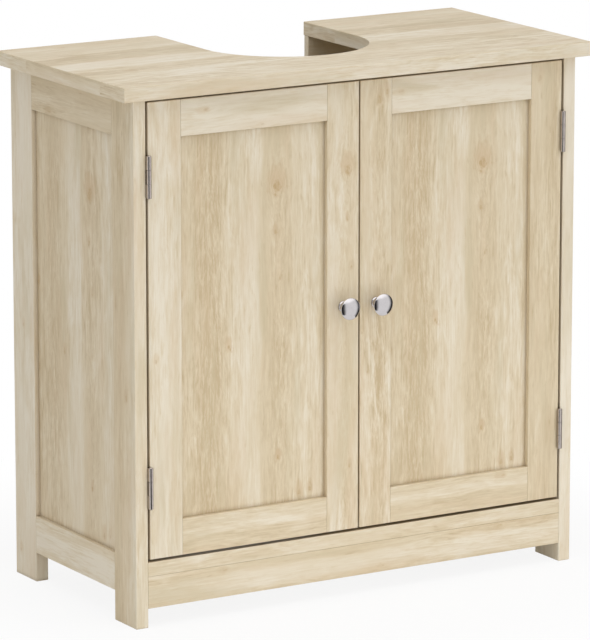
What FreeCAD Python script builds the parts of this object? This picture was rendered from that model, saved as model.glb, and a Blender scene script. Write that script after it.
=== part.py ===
import FreeCAD, Part
import math
import os

# Under-sink cabinet: two framed doors in a framed carcass, with a top that goes round a basin's column.
# X runs to the right, Y to the back and Z up. The origin is at the middle of the footprint, knobs included.
# Everything is modelled on the right-hand side, and its left-hand twin is the mirror image.

Vector = FreeCAD.Vector
RIGHT = Vector(1, 0, 0)
LEFT = Vector(-1, 0, 0)
BACK = Vector(0, 1, 0)
FRONT = Vector(0, -1, 0)
UP = Vector(0, 0, 1)
DOWN = Vector(0, 0, -1)
ORIGIN = Vector(0, 0, 0)

# Top panel
cabinet_height = 600.0
top_width = 600.0
top_depth = 290.0
top_thickness = 16.0
top_side_overhang = 16.0
top_front_overhang = 10.0
top_back_overhang = 2.0
top_edge_radius = 1.0
cutout_width = 194.0
cutout_front_land = 78.0

# Side frames
leg_thickness = 15.0
leg_width = 48.0
upper_rail_height = 44.0
lower_rail_height = 42.5
lower_rail_above_floor = 33.5
side_panel_recess = 5.5
side_panel_thickness = 6.0

# Bottom panel, apron and back panels
apron_above_floor = 21.4
apron_height = 36.0
apron_thickness = 15.0
bottom_thickness = 16.0
back_panel_thickness = 9.0
back_panel_rebate = 8.0

# Doors
door_thickness = 15.0
door_side_gap = 3.0
door_centre_gap = 2.0
door_bottom_gap = 3.0
door_top_gap = 3.5
stile_width = 40.5
door_rail_height = 40.5
door_panel_recess = 6.0
door_panel_thickness = 6.0

# Frame and panel joints
groove_depth = 7.0
groove_end_play = 0.5
groove_side_play = 0.1
tenon_shoulder = 4.0
board_edge_radius = 0.6

# Shelf and its pins
shelf_thickness = 16.0
shelf_above_bottom = 236.0
shelf_front_setback = 26.0
shelf_end_play = 1.0
shelf_back_play = 1.0
shelf_pin_radius = 2.5
shelf_pin_depth = 8.0
shelf_pin_inset = 30.0
shelf_pin_reach = 8.0
shelf_pin_pad_width = 8.0
shelf_pin_pad_height = 5.0
shelf_hole_pitch = 32.0
shelf_hole_steps = (-1, 0, 1)

# Hinges
hinge_height = 46.0
hinge_end_offset = 57.5
hinge_axis_offset = 0.5
knuckle_radius = 2.75
knuckle_door_clearance = 0.25
knuckle_gap = 0.3
knuckle_count = 3
leaf_gap = 0.6
leaf_back_margin = 1.5
leaf_front_play = 0.05
hinge_pin_radius = 1.2
hinge_pin_clearance = 0.05
hinge_pin_head_radius = 2.2
hinge_pin_head_height = 0.75
hinge_pin_tip_radius = 1.5
hinge_screw_spread = 26.0

# Knobs, each a turned body held by a machine screw
knob_projection = 21.0
knob_head_radius = 12.3
knob_rim_distance = 13.5
knob_rim_easing = 0.8
knob_flare_radius = 7.5
knob_flare_depth = 1.6
knob_neck_radius = 4.6
knob_neck_distance = 5.5
knob_base_radius = 6.0
knob_base_thickness = 1.2
knob_above_door_bottom = 254.5
knob_thread_depth = 9.0
knob_screw_radius = 2.0
knob_screw_reach = 8.0
knob_screw_hole_play = 0.25
knob_screw_head_radius = 4.0
knob_screw_head_height = 2.4
knob_screw_slot_width = 1.0
knob_screw_slot_depth = 1.0

# Magnetic catches and their strike plates
catch_width = 34.0
catch_body_width = 20.0
catch_body_depth = 15.0
catch_body_height = 16.0
catch_ear_thickness = 2.5
catch_ear_depth = 9.0
catch_screw_inset = 3.6
catch_gap = 0.3
magnet_width = 16.0
magnet_depth = 11.0
magnet_height = 7.0
magnet_floor = 2.5
magnet_play = 0.1
strike_width = 26.0
strike_height = 11.0
strike_thickness = 1.2

# Countersunk wood screws
screw_head_radius = 2.6
screw_head_depth = 1.2
screw_shank_radius = 1.4
screw_tip_length = 3.0
screw_tip_radius = 0.2
screw_length = 12.0
long_screw_length = 20.0
screw_play = 0.05
screw_hole_extra_depth = 1.0
screw_recess_length = 2.6
screw_recess_width = 0.6
screw_recess_depth = 0.8
back_screw_bottom_inset = 40.0
back_screw_top_inset = 50.0
back_screw_count = 4
back_bottom_screw_inset = 40.0
back_bottom_screw_count = 2

# Dowels
dowel_radius = 3.0
dowel_length = 30.0
dowel_face_depth = 10.0
dowel_play = 0.05
dowel_end_play = 0.5
dowel_chamfer = 0.8
dowel_groove_wall = 1.0
apron_dowel_inset = 90.0

# Cam bolts and cam locks
dowel_to_bolt = 13.5
cam_radius = 7.5
cam_depth = 12.0
cam_play = 0.1
cam_setback = 24.0
cam_cross_length = 8.0
cam_cross_width = 1.4
cam_cross_depth = 1.8
bolt_thread_radius = 3.0
bolt_thread_length = 9.0
bolt_rod_radius = 2.0
bolt_head_radius = 3.0
bolt_head_length = 3.0
bolt_channel_radius = 3.6
bolt_play = 0.05
bolt_end_play = 0.5

# One overrun serves every cut that starts outside a face
cut_overrun = 1.0

# Levels and planes that follow from the sizes above
top_underside = cabinet_height - top_thickness
outer_x = top_width / 2 - top_side_overhang
inner_x = outer_x - leg_thickness
leg_middle_x = outer_x - leg_thickness / 2
cutout_x = cutout_width / 2
side_depth = top_depth - top_front_overhang - top_back_overhang
whole_depth = knob_projection + side_depth + top_back_overhang
front_y = knob_projection - whole_depth / 2
back_y = front_y + side_depth
top_front_y = front_y - top_front_overhang
top_back_y = back_y + top_back_overhang
cutout_front_y = top_front_y + cutout_front_land
cutout_centre_y = cutout_front_y + cutout_x
front_leg_back_y = front_y + leg_width
back_leg_front_y = back_y - leg_width
lower_rail_top = lower_rail_above_floor + lower_rail_height
upper_rail_bottom = top_underside - upper_rail_height
bottom_underside = apron_above_floor + apron_height
bottom_top = bottom_underside + bottom_thickness
bottom_middle_z = bottom_underside + bottom_thickness / 2
back_panel_front_y = back_y - back_panel_thickness
back_panel_outer_x = inner_x + back_panel_rebate
side_panel_outer_x = outer_x - side_panel_recess
side_panel_inner_x = side_panel_outer_x - side_panel_thickness
door_back_y = front_y + door_thickness
door_middle_y = front_y + door_thickness / 2
door_bottom = bottom_top + door_bottom_gap
door_top = top_underside - door_top_gap
door_outer_x = inner_x - door_side_gap
door_inner_x = door_centre_gap / 2
leaf_thickness = (door_side_gap - leaf_gap) / 2
leaf_back_y = door_back_y - leaf_back_margin
door_panel_front_y = front_y + door_panel_recess
door_panel_back_y = door_panel_front_y + door_panel_thickness
meeting_middle_x = door_inner_x + stile_width / 2
shelf_underside = bottom_top + shelf_above_bottom
shelf_front_y = front_y + shelf_front_setback
shelf_back_y = back_panel_front_y - shelf_back_play
hinge_x = door_outer_x + hinge_axis_offset
hinge_y = front_y - knuckle_radius - knuckle_door_clearance
hinge_levels = (door_bottom + hinge_end_offset, door_top - hinge_end_offset - hinge_height)
knob_z = door_bottom + knob_above_door_bottom
magnet_middle_z = top_underside - catch_body_height + magnet_floor + magnet_height / 2
catch_front_y = door_back_y + strike_thickness + catch_gap
leg_dowel_inset = leg_width - groove_depth - dowel_groove_wall - dowel_radius
leg_bolt_inset = leg_dowel_inset - dowel_to_bolt


def board(low, high, radius=board_edge_radius):
    """A flat board between two corners, with its edges eased."""
    size = high - low
    blank = Part.makeBox(size.x, size.y, size.z, low)
    if radius == 0:
        return blank
    return blank.makeFillet(radius, blank.Edges)


def cut_box(low, high):
    """A plain box that is used as a cut or as a part of a piece."""
    return board(low, high, 0)


def hole(mouth, direction, radius, depth):
    """A drilled cut that starts one overrun outside its mouth."""
    start = mouth - direction * cut_overrun
    return Part.makeCylinder(radius, depth + cut_overrun, start, direction)


def slot(centre, along, inward, length, width, depth):
    """A straight slot cut into a face, centred on a point of that face."""
    across = inward.cross(along)
    start = centre - along * (length / 2) - across * (width / 2) - inward * cut_overrun
    corners = [
        start,
        start + along * length,
        start + along * length + across * width,
        start + across * width,
        start,
    ]
    return Part.Face(Part.makePolygon(corners)).extrude(inward * (depth + cut_overrun))


def cross_recess(centre, along, inward, length, width, depth):
    """The two crossed slots that a screwdriver fits."""
    across = inward.cross(along)
    first = slot(centre, along, inward, length, width, depth)
    second = slot(centre, across, inward, length, width, depth)
    return first.fuse(second)


def mirrored(shape):
    """The left-hand twin of a right-hand shape."""
    return shape.mirror(ORIGIN, RIGHT)


def both_sides(shapes):
    """Right-hand shapes together with their left-hand twins, as one group."""
    return Part.makeCompound(list(shapes) + [mirrored(shape) for shape in shapes])


def save(node, shape):
    """Writes one piece, or one group of like pieces, as a STEP file."""
    shape.exportStep("parts/" + node + ".step")


def save_pair(name, shape):
    """Writes a right-hand piece and its left-hand twin."""
    save("right_" + name, shape)
    save("left_" + name, mirrored(shape))


# Fasteners: each has the piece itself and the cut that holds it

def screw(face_point, direction, length):
    """A countersunk screw with its head flush at a point and its shank along a direction."""
    neck = face_point + direction * screw_head_depth
    shank_length = length - screw_head_depth - screw_tip_length
    head = Part.makeCone(screw_head_radius, screw_shank_radius, screw_head_depth, face_point, direction)
    shank = Part.makeCylinder(screw_shank_radius, shank_length, neck, direction)
    tip_start = neck + direction * shank_length
    tip = Part.makeCone(screw_shank_radius, screw_tip_radius, screw_tip_length, tip_start, direction)
    along = UP if abs(direction.z) == 0 else RIGHT
    recess = cross_recess(
        face_point, along, direction, screw_recess_length, screw_recess_width, screw_recess_depth
    )
    return head.fuse([shank, tip]).cut(recess)


def screw_cut(face_point, direction, length):
    """The countersunk hole for a screw."""
    head_radius = screw_head_radius + screw_play
    shank_radius = screw_shank_radius + screw_play
    cone = Part.makeCone(head_radius, shank_radius, screw_head_depth, face_point, direction)
    shank = hole(face_point, direction, shank_radius, length + screw_hole_extra_depth)
    return cone.fuse(shank)


def dowel(joint_point, direction):
    """A dowel that reaches from a drilled face, across the joint, into the end of the other board."""
    start = joint_point - direction * dowel_face_depth
    rod = Part.makeCylinder(dowel_radius, dowel_length, start, direction)
    rims = [edge for edge in rod.Edges if edge.Closed]
    return rod.makeChamfer(dowel_chamfer, rims)


def dowel_cut(joint_point, direction):
    """One straight cut that gives a dowel its hole in both boards."""
    start = joint_point - direction * (dowel_face_depth + dowel_end_play)
    return Part.makeCylinder(
        dowel_radius + dowel_play, dowel_length + dowel_end_play * 2, start, direction
    )


def cam_bolt(joint_point, direction):
    """A bolt screwed into one board's face, whose head reaches the cam in the other board."""
    thread_start = joint_point - direction * bolt_thread_length
    thread = Part.makeCylinder(bolt_thread_radius, bolt_thread_length, thread_start, direction)
    rod = Part.makeCylinder(bolt_rod_radius, cam_setback, joint_point, direction)
    head_start = joint_point + direction * (cam_setback - bolt_head_length / 2)
    head = Part.makeCylinder(bolt_head_radius, bolt_head_length, head_start, direction)
    return thread.fuse([rod, head])


def cam_bolt_cut(joint_point, direction):
    """The bolt's threaded hole in the one board and its clearance hole in the other."""
    thread = hole(
        joint_point, direction * -1, bolt_thread_radius + bolt_play, bolt_thread_length + bolt_end_play
    )
    clearance = Part.makeCylinder(bolt_channel_radius, cam_setback, joint_point, direction)
    return thread.cut(clearance).fuse(clearance)


def cam_face(joint_point, direction, inward, board_thickness):
    """The centre of a cam's open face, on the surface that it is pressed into."""
    return joint_point + direction * cam_setback - inward * (board_thickness / 2)


def cam_lock(joint_point, direction, inward, board_thickness):
    """A round cam with a channel for the bolt's head and a cross on its open face."""
    face = cam_face(joint_point, direction, inward, board_thickness)
    centre = joint_point + direction * cam_setback
    drum = Part.makeCylinder(cam_radius, cam_depth, face, inward)
    channel_start = centre + direction * bolt_head_length
    channel_length = cam_radius + bolt_head_length + cut_overrun
    channel = Part.makeCylinder(bolt_channel_radius, channel_length, channel_start, direction * -1)
    cross = cross_recess(face, direction, inward, cam_cross_length, cam_cross_width, cam_cross_depth)
    return drum.cut(channel.fuse(cross))


def cam_lock_cut(joint_point, direction, inward, board_thickness):
    """The round pocket for a cam."""
    face = cam_face(joint_point, direction, inward, board_thickness)
    return hole(face, inward, cam_radius + cam_play, cam_depth + cam_play)


# Where the right-hand fasteners sit

leg_bolt_ys = (front_y + leg_bolt_inset, back_y - leg_bolt_inset)
leg_dowel_ys = (front_y + leg_dowel_inset, back_y - leg_dowel_inset)
shelf_pin_ys = (front_y + shelf_pin_inset, back_y - shelf_pin_inset)
shelf_pin_z = shelf_underside - shelf_pin_pad_height / 2
top_bolt_points = [Vector(leg_middle_x, y, top_underside) for y in leg_bolt_ys]
top_dowel_points = [Vector(leg_middle_x, y, top_underside) for y in leg_dowel_ys]
bottom_bolt_points = [Vector(inner_x, y, bottom_middle_z) for y in leg_bolt_ys]
bottom_dowel_points = [Vector(inner_x, y, bottom_middle_z) for y in leg_dowel_ys]
apron_end_dowel_point = Vector(inner_x, front_y + apron_thickness / 2, apron_above_floor + apron_height / 2)
apron_top_dowel_point = Vector(
    inner_x - apron_dowel_inset, front_y + apron_thickness / 2, bottom_underside
)


def spread(first, last, count):
    """Evenly spaced values from the first to the last."""
    return [first + (last - first) * index / (count - 1) for index in range(count)]


back_leg_screw_levels = spread(
    bottom_top + back_screw_bottom_inset, top_underside - back_screw_top_inset, back_screw_count
)
back_leg_screw_points = [
    Vector(inner_x + back_panel_rebate / 2, back_y, level) for level in back_leg_screw_levels
]
back_bottom_screw_xs = spread(
    cutout_x + back_bottom_screw_inset, inner_x - back_bottom_screw_inset, back_bottom_screw_count
)
back_bottom_screw_points = [Vector(x, back_y, bottom_middle_z) for x in back_bottom_screw_xs]
back_screw_points = back_leg_screw_points + back_bottom_screw_points

hinge_screw_levels = [
    level + hinge_height / 2 + offset
    for level in hinge_levels
    for offset in (-hinge_screw_spread / 2, hinge_screw_spread / 2)
]
frame_screw_points = [
    Vector(inner_x - leaf_thickness, door_middle_y, level) for level in hinge_screw_levels
]
door_screw_points = [
    Vector(door_outer_x + leaf_thickness, door_middle_y, level) for level in hinge_screw_levels
]
catch_screw_points = [
    Vector(x, catch_front_y + catch_ear_depth / 2, top_underside - catch_ear_thickness)
    for x in (
        meeting_middle_x - catch_width / 2 + catch_screw_inset,
        meeting_middle_x + catch_width / 2 - catch_screw_inset,
    )
]
strike_screw_point = Vector(meeting_middle_x, door_back_y + strike_thickness, magnet_middle_z)
knob_point = Vector(meeting_middle_x, front_y, knob_z)


# Carcass

def u_shaped_board(half_width, y_front, y_back, z_low, thickness, radius):
    """A board with the round-ended cut-out open at its back edge, with its edges eased."""
    arc_front = Vector(0, cutout_front_y, z_low)
    outline = [
        Part.LineSegment(Vector(cutout_x, y_back, z_low), Vector(half_width, y_back, z_low)),
        Part.LineSegment(Vector(half_width, y_back, z_low), Vector(half_width, y_front, z_low)),
        Part.LineSegment(Vector(half_width, y_front, z_low), Vector(-half_width, y_front, z_low)),
        Part.LineSegment(Vector(-half_width, y_front, z_low), Vector(-half_width, y_back, z_low)),
        Part.LineSegment(Vector(-half_width, y_back, z_low), Vector(-cutout_x, y_back, z_low)),
        Part.LineSegment(Vector(-cutout_x, y_back, z_low), Vector(-cutout_x, cutout_centre_y, z_low)),
        Part.Arc(
            Vector(-cutout_x, cutout_centre_y, z_low), arc_front, Vector(cutout_x, cutout_centre_y, z_low)
        ),
        Part.LineSegment(Vector(cutout_x, cutout_centre_y, z_low), Vector(cutout_x, y_back, z_low)),
    ]
    wire = Part.Wire([segment.toShape() for segment in outline])
    blank = Part.Face(wire).extrude(UP * thickness)
    return blank.makeFillet(radius, blank.Edges)


def top_panel():
    """The top, drilled from below for the legs' bolts and dowels and for the catches."""
    panel = u_shaped_board(
        top_width / 2, top_front_y, top_back_y, top_underside, top_thickness, top_edge_radius
    )
    cuts = [cam_bolt_cut(point, DOWN) for point in top_bolt_points]
    cuts += [dowel_cut(point, DOWN) for point in top_dowel_points]
    cuts += [screw_cut(point, UP, screw_length) for point in catch_screw_points]
    return panel.cut([both_sides(cuts)])


def bottom_panel():
    """The floor of the cabinet, flush with the legs' fronts."""
    panel = u_shaped_board(
        inner_x, front_y, back_panel_front_y, bottom_underside, bottom_thickness, board_edge_radius
    )
    cuts = [cam_bolt_cut(point, LEFT) for point in bottom_bolt_points]
    cuts += [cam_lock_cut(point, LEFT, UP, bottom_thickness) for point in bottom_bolt_points]
    cuts += [dowel_cut(point, LEFT) for point in bottom_dowel_points]
    cuts += [dowel_cut(apron_top_dowel_point, DOWN)]
    cuts += [screw_cut(point, FRONT, long_screw_length) for point in back_bottom_screw_points]
    return panel.cut([both_sides(cuts)])


def shelf():
    """The adjustable shelf, which goes round the column as the bottom does."""
    return u_shaped_board(
        inner_x - shelf_end_play, shelf_front_y, shelf_back_y, shelf_underside, shelf_thickness,
        board_edge_radius,
    )


def apron():
    """The rail below the bottom panel, between the front legs."""
    rail = board(
        Vector(-inner_x, front_y, apron_above_floor),
        Vector(inner_x, front_y + apron_thickness, bottom_underside),
    )
    cuts = [dowel_cut(apron_end_dowel_point, LEFT), dowel_cut(apron_top_dowel_point, DOWN)]
    return rail.cut([both_sides(cuts)])


def leg_groove(edge_y, direction):
    """The stopped groove along a leg's inner edge, for the side panel and the rails' tenons."""
    depth_y = edge_y - direction.y * groove_depth
    mouth_y = edge_y + direction.y * cut_overrun
    return cut_box(
        Vector(side_panel_inner_x, min(depth_y, mouth_y), lower_rail_above_floor + tenon_shoulder),
        Vector(side_panel_outer_x, max(depth_y, mouth_y), top_underside + cut_overrun),
    )


def leg(y_low, bolt_y, dowel_y, pin_y, groove):
    """One leg with what both kinds of leg have."""
    post = board(Vector(inner_x, y_low, 0), Vector(outer_x, y_low + leg_width, top_underside))
    top_bolt_point = Vector(leg_middle_x, bolt_y, top_underside)
    cuts = [
        groove,
        cam_bolt_cut(top_bolt_point, DOWN),
        cam_lock_cut(top_bolt_point, DOWN, RIGHT, leg_thickness),
        dowel_cut(Vector(leg_middle_x, dowel_y, top_underside), DOWN),
        cam_bolt_cut(Vector(inner_x, bolt_y, bottom_middle_z), LEFT),
        dowel_cut(Vector(inner_x, dowel_y, bottom_middle_z), LEFT),
    ]
    for step in shelf_hole_steps:
        mouth = Vector(inner_x, pin_y, shelf_pin_z + step * shelf_hole_pitch)
        cuts.append(hole(mouth, RIGHT, shelf_pin_radius, shelf_pin_depth))
    return post.cut(cuts)


def front_leg():
    """The front leg, drilled for the hinges and the apron."""
    groove = leg_groove(front_leg_back_y, BACK)
    post = leg(front_y, leg_bolt_ys[0], leg_dowel_ys[0], shelf_pin_ys[0], groove)
    cuts = [screw_cut(point, RIGHT, screw_length) for point in frame_screw_points]
    cuts.append(dowel_cut(apron_end_dowel_point, LEFT))
    return post.cut(cuts)


def back_leg():
    """The back leg, rebated for the back panel."""
    groove = leg_groove(back_leg_front_y, FRONT)
    post = leg(back_leg_front_y, leg_bolt_ys[1], leg_dowel_ys[1], shelf_pin_ys[1], groove)
    rebate = cut_box(
        Vector(inner_x - cut_overrun, back_panel_front_y, bottom_underside),
        Vector(back_panel_outer_x, back_y + cut_overrun, top_underside + cut_overrun),
    )
    cuts = [screw_cut(point, FRONT, long_screw_length) for point in back_leg_screw_points]
    return post.cut([rebate] + cuts)


def side_rail(z_low, z_high, tenon_low, tenon_high, groove_low, groove_high):
    """A rail between the two legs of a side, with a tenon at each end and a groove for the panel."""
    rail = board(
        Vector(inner_x, front_leg_back_y, z_low), Vector(outer_x, back_leg_front_y, z_high)
    )
    tenon_reach = groove_depth - groove_end_play
    tenons = cut_box(
        Vector(side_panel_inner_x + groove_side_play, front_leg_back_y - tenon_reach, tenon_low),
        Vector(side_panel_outer_x - groove_side_play, back_leg_front_y + tenon_reach, tenon_high),
    )
    groove = cut_box(
        Vector(side_panel_inner_x, front_leg_back_y - groove_depth, groove_low),
        Vector(side_panel_outer_x, back_leg_front_y + groove_depth, groove_high),
    )
    return rail.fuse(tenons).cut(groove)


def upper_side_rail():
    """The side rail under the top."""
    return side_rail(
        upper_rail_bottom, top_underside,
        upper_rail_bottom + groove_depth, top_underside,
        upper_rail_bottom - cut_overrun, upper_rail_bottom + groove_depth,
    )


def lower_side_rail():
    """The side rail above the floor."""
    return side_rail(
        lower_rail_above_floor, lower_rail_top,
        lower_rail_above_floor + tenon_shoulder, lower_rail_top - groove_depth,
        lower_rail_top - groove_depth, lower_rail_top + cut_overrun,
    )


def side_panel():
    """The thin panel in the grooves of the legs and side rails."""
    reach = groove_depth - groove_end_play
    return cut_box(
        Vector(side_panel_inner_x + groove_side_play, front_leg_back_y - reach, lower_rail_top - reach),
        Vector(side_panel_outer_x - groove_side_play, back_leg_front_y + reach, upper_rail_bottom + reach),
    )


def back_panel():
    """The narrow panel behind one wing of the top, from the cut-out to the back leg."""
    panel = board(
        Vector(cutout_x, back_panel_front_y, bottom_underside),
        Vector(back_panel_outer_x, back_y, top_underside),
    )
    return panel.cut([screw_cut(point, FRONT, long_screw_length) for point in back_screw_points])


def shelf_pin(pin_y):
    """A shelf pin: a peg in the leg's hole and a flat pad under the shelf."""
    peg = Part.makeCylinder(
        shelf_pin_radius - groove_side_play, shelf_pin_depth - groove_end_play,
        Vector(inner_x, pin_y, shelf_pin_z), RIGHT,
    )
    pad = cut_box(
        Vector(inner_x - shelf_pin_reach, pin_y - shelf_pin_pad_width / 2,
               shelf_underside - shelf_pin_pad_height),
        Vector(inner_x, pin_y + shelf_pin_pad_width / 2, shelf_underside),
    )
    return pad.fuse(peg)


# Doors, hinges, knobs and catches

def door_stile(x_low, x_high, groove_edge_x, groove_floor_x):
    """An upright of a door, with a groove along the edge that faces the panel."""
    stile = board(Vector(x_low, front_y, door_bottom), Vector(x_high, door_back_y, door_top))
    groove = cut_box(
        Vector(min(groove_edge_x, groove_floor_x), door_panel_front_y, door_bottom + tenon_shoulder),
        Vector(max(groove_edge_x, groove_floor_x), door_panel_back_y, door_top - tenon_shoulder),
    )
    return stile.cut(groove)


def hinge_stile():
    """The stile at the hinges."""
    edge_x = door_outer_x - stile_width
    stile = door_stile(edge_x, door_outer_x, edge_x - cut_overrun, edge_x + groove_depth)
    return stile.cut([screw_cut(point, LEFT, screw_length) for point in door_screw_points])


def meeting_stile():
    """The stile in the middle of the cabinet, which carries the knob and the strike plate."""
    edge_x = door_inner_x + stile_width
    stile = door_stile(door_inner_x, edge_x, edge_x + cut_overrun, edge_x - groove_depth)
    knob_hole = hole(knob_point, BACK, knob_screw_radius + knob_screw_hole_play, door_thickness + cut_overrun)
    return stile.cut([knob_hole, screw_cut(strike_screw_point, FRONT, screw_length)])


def door_rail(z_low, z_high, tenon_low, tenon_high, groove_low, groove_high):
    """A cross rail of a door, with a tenon at each end and a groove for the panel."""
    rail = board(
        Vector(door_inner_x + stile_width, front_y, z_low),
        Vector(door_outer_x - stile_width, door_back_y, z_high),
    )
    tenon_reach = groove_depth - groove_end_play
    tenons = cut_box(
        Vector(door_inner_x + stile_width - tenon_reach, door_panel_front_y + groove_side_play, tenon_low),
        Vector(door_outer_x - stile_width + tenon_reach, door_panel_back_y - groove_side_play, tenon_high),
    )
    groove = cut_box(
        Vector(door_inner_x, door_panel_front_y, groove_low),
        Vector(door_outer_x, door_panel_back_y, groove_high),
    )
    return rail.fuse(tenons).cut(groove)


def door_top_rail():
    """The door's top rail."""
    rail_bottom = door_top - door_rail_height
    return door_rail(
        rail_bottom, door_top,
        rail_bottom + groove_depth, door_top - tenon_shoulder,
        rail_bottom - cut_overrun, rail_bottom + groove_depth,
    )


def door_bottom_rail():
    """The door's bottom rail."""
    rail_top = door_bottom + door_rail_height
    return door_rail(
        door_bottom, rail_top,
        door_bottom + tenon_shoulder, rail_top - groove_depth,
        rail_top - groove_depth, rail_top + cut_overrun,
    )


def door_panel():
    """The thin panel of a door, in the grooves of its stiles and rails."""
    reach = groove_depth - groove_end_play
    return cut_box(
        Vector(
            door_inner_x + stile_width - reach, door_panel_front_y + groove_side_play,
            door_bottom + door_rail_height - reach,
        ),
        Vector(
            door_outer_x - stile_width + reach, door_panel_back_y - groove_side_play,
            door_top - door_rail_height + reach,
        ),
    )


def knuckle_spans(level):
    """The low and high ends of a hinge's knuckles, from the bottom one up."""
    pitch = (hinge_height + knuckle_gap) / knuckle_count
    return [
        (level + index * pitch, level + (index + 1) * pitch - knuckle_gap) for index in range(knuckle_count)
    ]


def hinge_leaf(level, plate_low_x, plate_high_x, spans, screw_points, screw_direction):
    """A hinge leaf: a flat plate in the gap beside the door, rolled into knuckles round the pin."""
    plate_front_y = front_y + leaf_front_play
    leaf = cut_box(
        Vector(plate_low_x, plate_front_y, level),
        Vector(plate_high_x, leaf_back_y, level + hinge_height),
    )
    pieces = []
    for low, high in spans:
        pieces.append(Part.makeCylinder(knuckle_radius, high - low, Vector(hinge_x, hinge_y, low), UP))
        pieces.append(
            cut_box(Vector(plate_low_x, hinge_y, low), Vector(plate_high_x, plate_front_y, high))
        )
    leaf = leaf.fuse(pieces).removeSplitter()
    bore = hole(Vector(hinge_x, hinge_y, level), UP, hinge_pin_radius + hinge_pin_clearance,
                hinge_height + cut_overrun)
    return leaf.cut([bore] + [screw_cut(point, screw_direction, screw_length) for point in screw_points])


def frame_leaf(level, screw_points):
    """The leaf on the leg, with the outer knuckles."""
    spans = knuckle_spans(level)[0::2]
    return hinge_leaf(level, inner_x - leaf_thickness, inner_x, spans, screw_points, RIGHT)


def door_leaf(level, screw_points):
    """The leaf on the door's edge, with the knuckle between."""
    spans = knuckle_spans(level)[1::2]
    return hinge_leaf(level, door_outer_x, door_outer_x + leaf_thickness, spans, screw_points, LEFT)


def hinge_pin(level):
    """The pin through a hinge's knuckles, with a low bevelled head at each end."""
    pin = Part.makeCylinder(hinge_pin_radius, hinge_height, Vector(hinge_x, hinge_y, level), UP)
    lower_head = Part.makeCone(
        hinge_pin_head_radius, hinge_pin_tip_radius, hinge_pin_head_height,
        Vector(hinge_x, hinge_y, level), DOWN,
    )
    upper_head = Part.makeCone(
        hinge_pin_head_radius, hinge_pin_tip_radius, hinge_pin_head_height,
        Vector(hinge_x, hinge_y, level + hinge_height), UP,
    )
    return pin.fuse([lower_head, upper_head])


def knob():
    """A turned knob: a small base, a waisted neck and a domed head, drawn as a half section."""
    rim_radius = knob_head_radius - knob_rim_easing
    rim_back = knob_rim_distance - knob_rim_easing
    rim_front = knob_rim_distance + knob_rim_easing
    dome_height = knob_projection - rim_front
    dome_radius = (rim_radius ** 2 + dome_height ** 2) / (dome_height * 2)
    dome_half_angle = math.asin(rim_radius / dome_radius) / 2
    dome_drop = dome_radius * (1 - math.cos(dome_half_angle))
    thread_radius = knob_screw_radius + screw_play
    thread_mouth = Vector(thread_radius, 0, 0)
    thread_end = Vector(thread_radius, -knob_thread_depth, 0)
    thread_floor = Vector(0, -knob_thread_depth, 0)
    base_edge = Vector(knob_base_radius, 0, 0)
    base_front = Vector(knob_base_radius, -knob_base_thickness, 0)
    neck = Vector(knob_neck_radius, -knob_neck_distance, 0)
    flare = Vector(knob_flare_radius, knob_flare_depth - rim_back, 0)
    head_back = Vector(rim_radius, -rim_back, 0)
    rim = Vector(knob_head_radius, -knob_rim_distance, 0)
    head_front = Vector(rim_radius, -rim_front, 0)
    dome = Vector(dome_radius * math.sin(dome_half_angle), dome_drop - knob_projection, 0)
    tip = Vector(0, -knob_projection, 0)
    profile = [
        Part.LineSegment(thread_mouth, base_edge),
        Part.LineSegment(base_edge, base_front),
        Part.Arc(base_front, neck, flare),
        Part.LineSegment(flare, head_back),
        Part.Arc(head_back, rim, head_front),
        Part.Arc(head_front, dome, tip),
        Part.LineSegment(tip, thread_floor),
        Part.LineSegment(thread_floor, thread_end),
        Part.LineSegment(thread_end, thread_mouth),
    ]
    wire = Part.Wire([segment.toShape() for segment in profile])
    return Part.Face(wire).revolve(ORIGIN, BACK, 360).translate(knob_point)


def knob_screw():
    """The machine screw that holds a knob from inside the door."""
    head_base = knob_point + BACK * door_thickness
    head_top = head_base + BACK * knob_screw_head_height
    shank = Part.makeCylinder(knob_screw_radius, door_thickness + knob_screw_reach, head_base, FRONT)
    head = Part.makeCylinder(knob_screw_head_radius, knob_screw_head_height, head_base, BACK)
    recess = cross_recess(
        head_top, UP, FRONT, knob_screw_head_radius, knob_screw_slot_width, knob_screw_slot_depth
    )
    return head.fuse(shank).cut(recess)


def catch_body():
    """The plastic body of a magnetic catch, with an ear each side and a pocket for the magnet."""
    block = cut_box(
        Vector(meeting_middle_x - catch_body_width / 2, catch_front_y, top_underside - catch_body_height),
        Vector(meeting_middle_x + catch_body_width / 2, catch_front_y + catch_body_depth, top_underside),
    )
    ears = cut_box(
        Vector(meeting_middle_x - catch_width / 2, catch_front_y, top_underside - catch_ear_thickness),
        Vector(meeting_middle_x + catch_width / 2, catch_front_y + catch_ear_depth, top_underside),
    )
    pocket = magnet_block(magnet_play, cut_overrun)
    screws = [screw_cut(point, UP, screw_length) for point in catch_screw_points]
    return block.fuse(ears).cut([pocket] + screws)


def magnet_block(play, front_overrun):
    """The magnet, or with a play and an overrun the pocket that holds it."""
    return cut_box(
        Vector(
            meeting_middle_x - magnet_width / 2 - play, catch_front_y - front_overrun,
            magnet_middle_z - magnet_height / 2 - play,
        ),
        Vector(
            meeting_middle_x + magnet_width / 2 + play, catch_front_y + magnet_depth + play,
            magnet_middle_z + magnet_height / 2 + play,
        ),
    )


def strike_plate():
    """The steel plate on the back of a door that meets the magnet."""
    plate = cut_box(
        Vector(meeting_middle_x - strike_width / 2, door_back_y, magnet_middle_z - strike_height / 2),
        Vector(
            meeting_middle_x + strike_width / 2, door_back_y + strike_thickness,
            magnet_middle_z + strike_height / 2,
        ),
    )
    return plate.cut(screw_cut(strike_screw_point, FRONT, screw_length))


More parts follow.
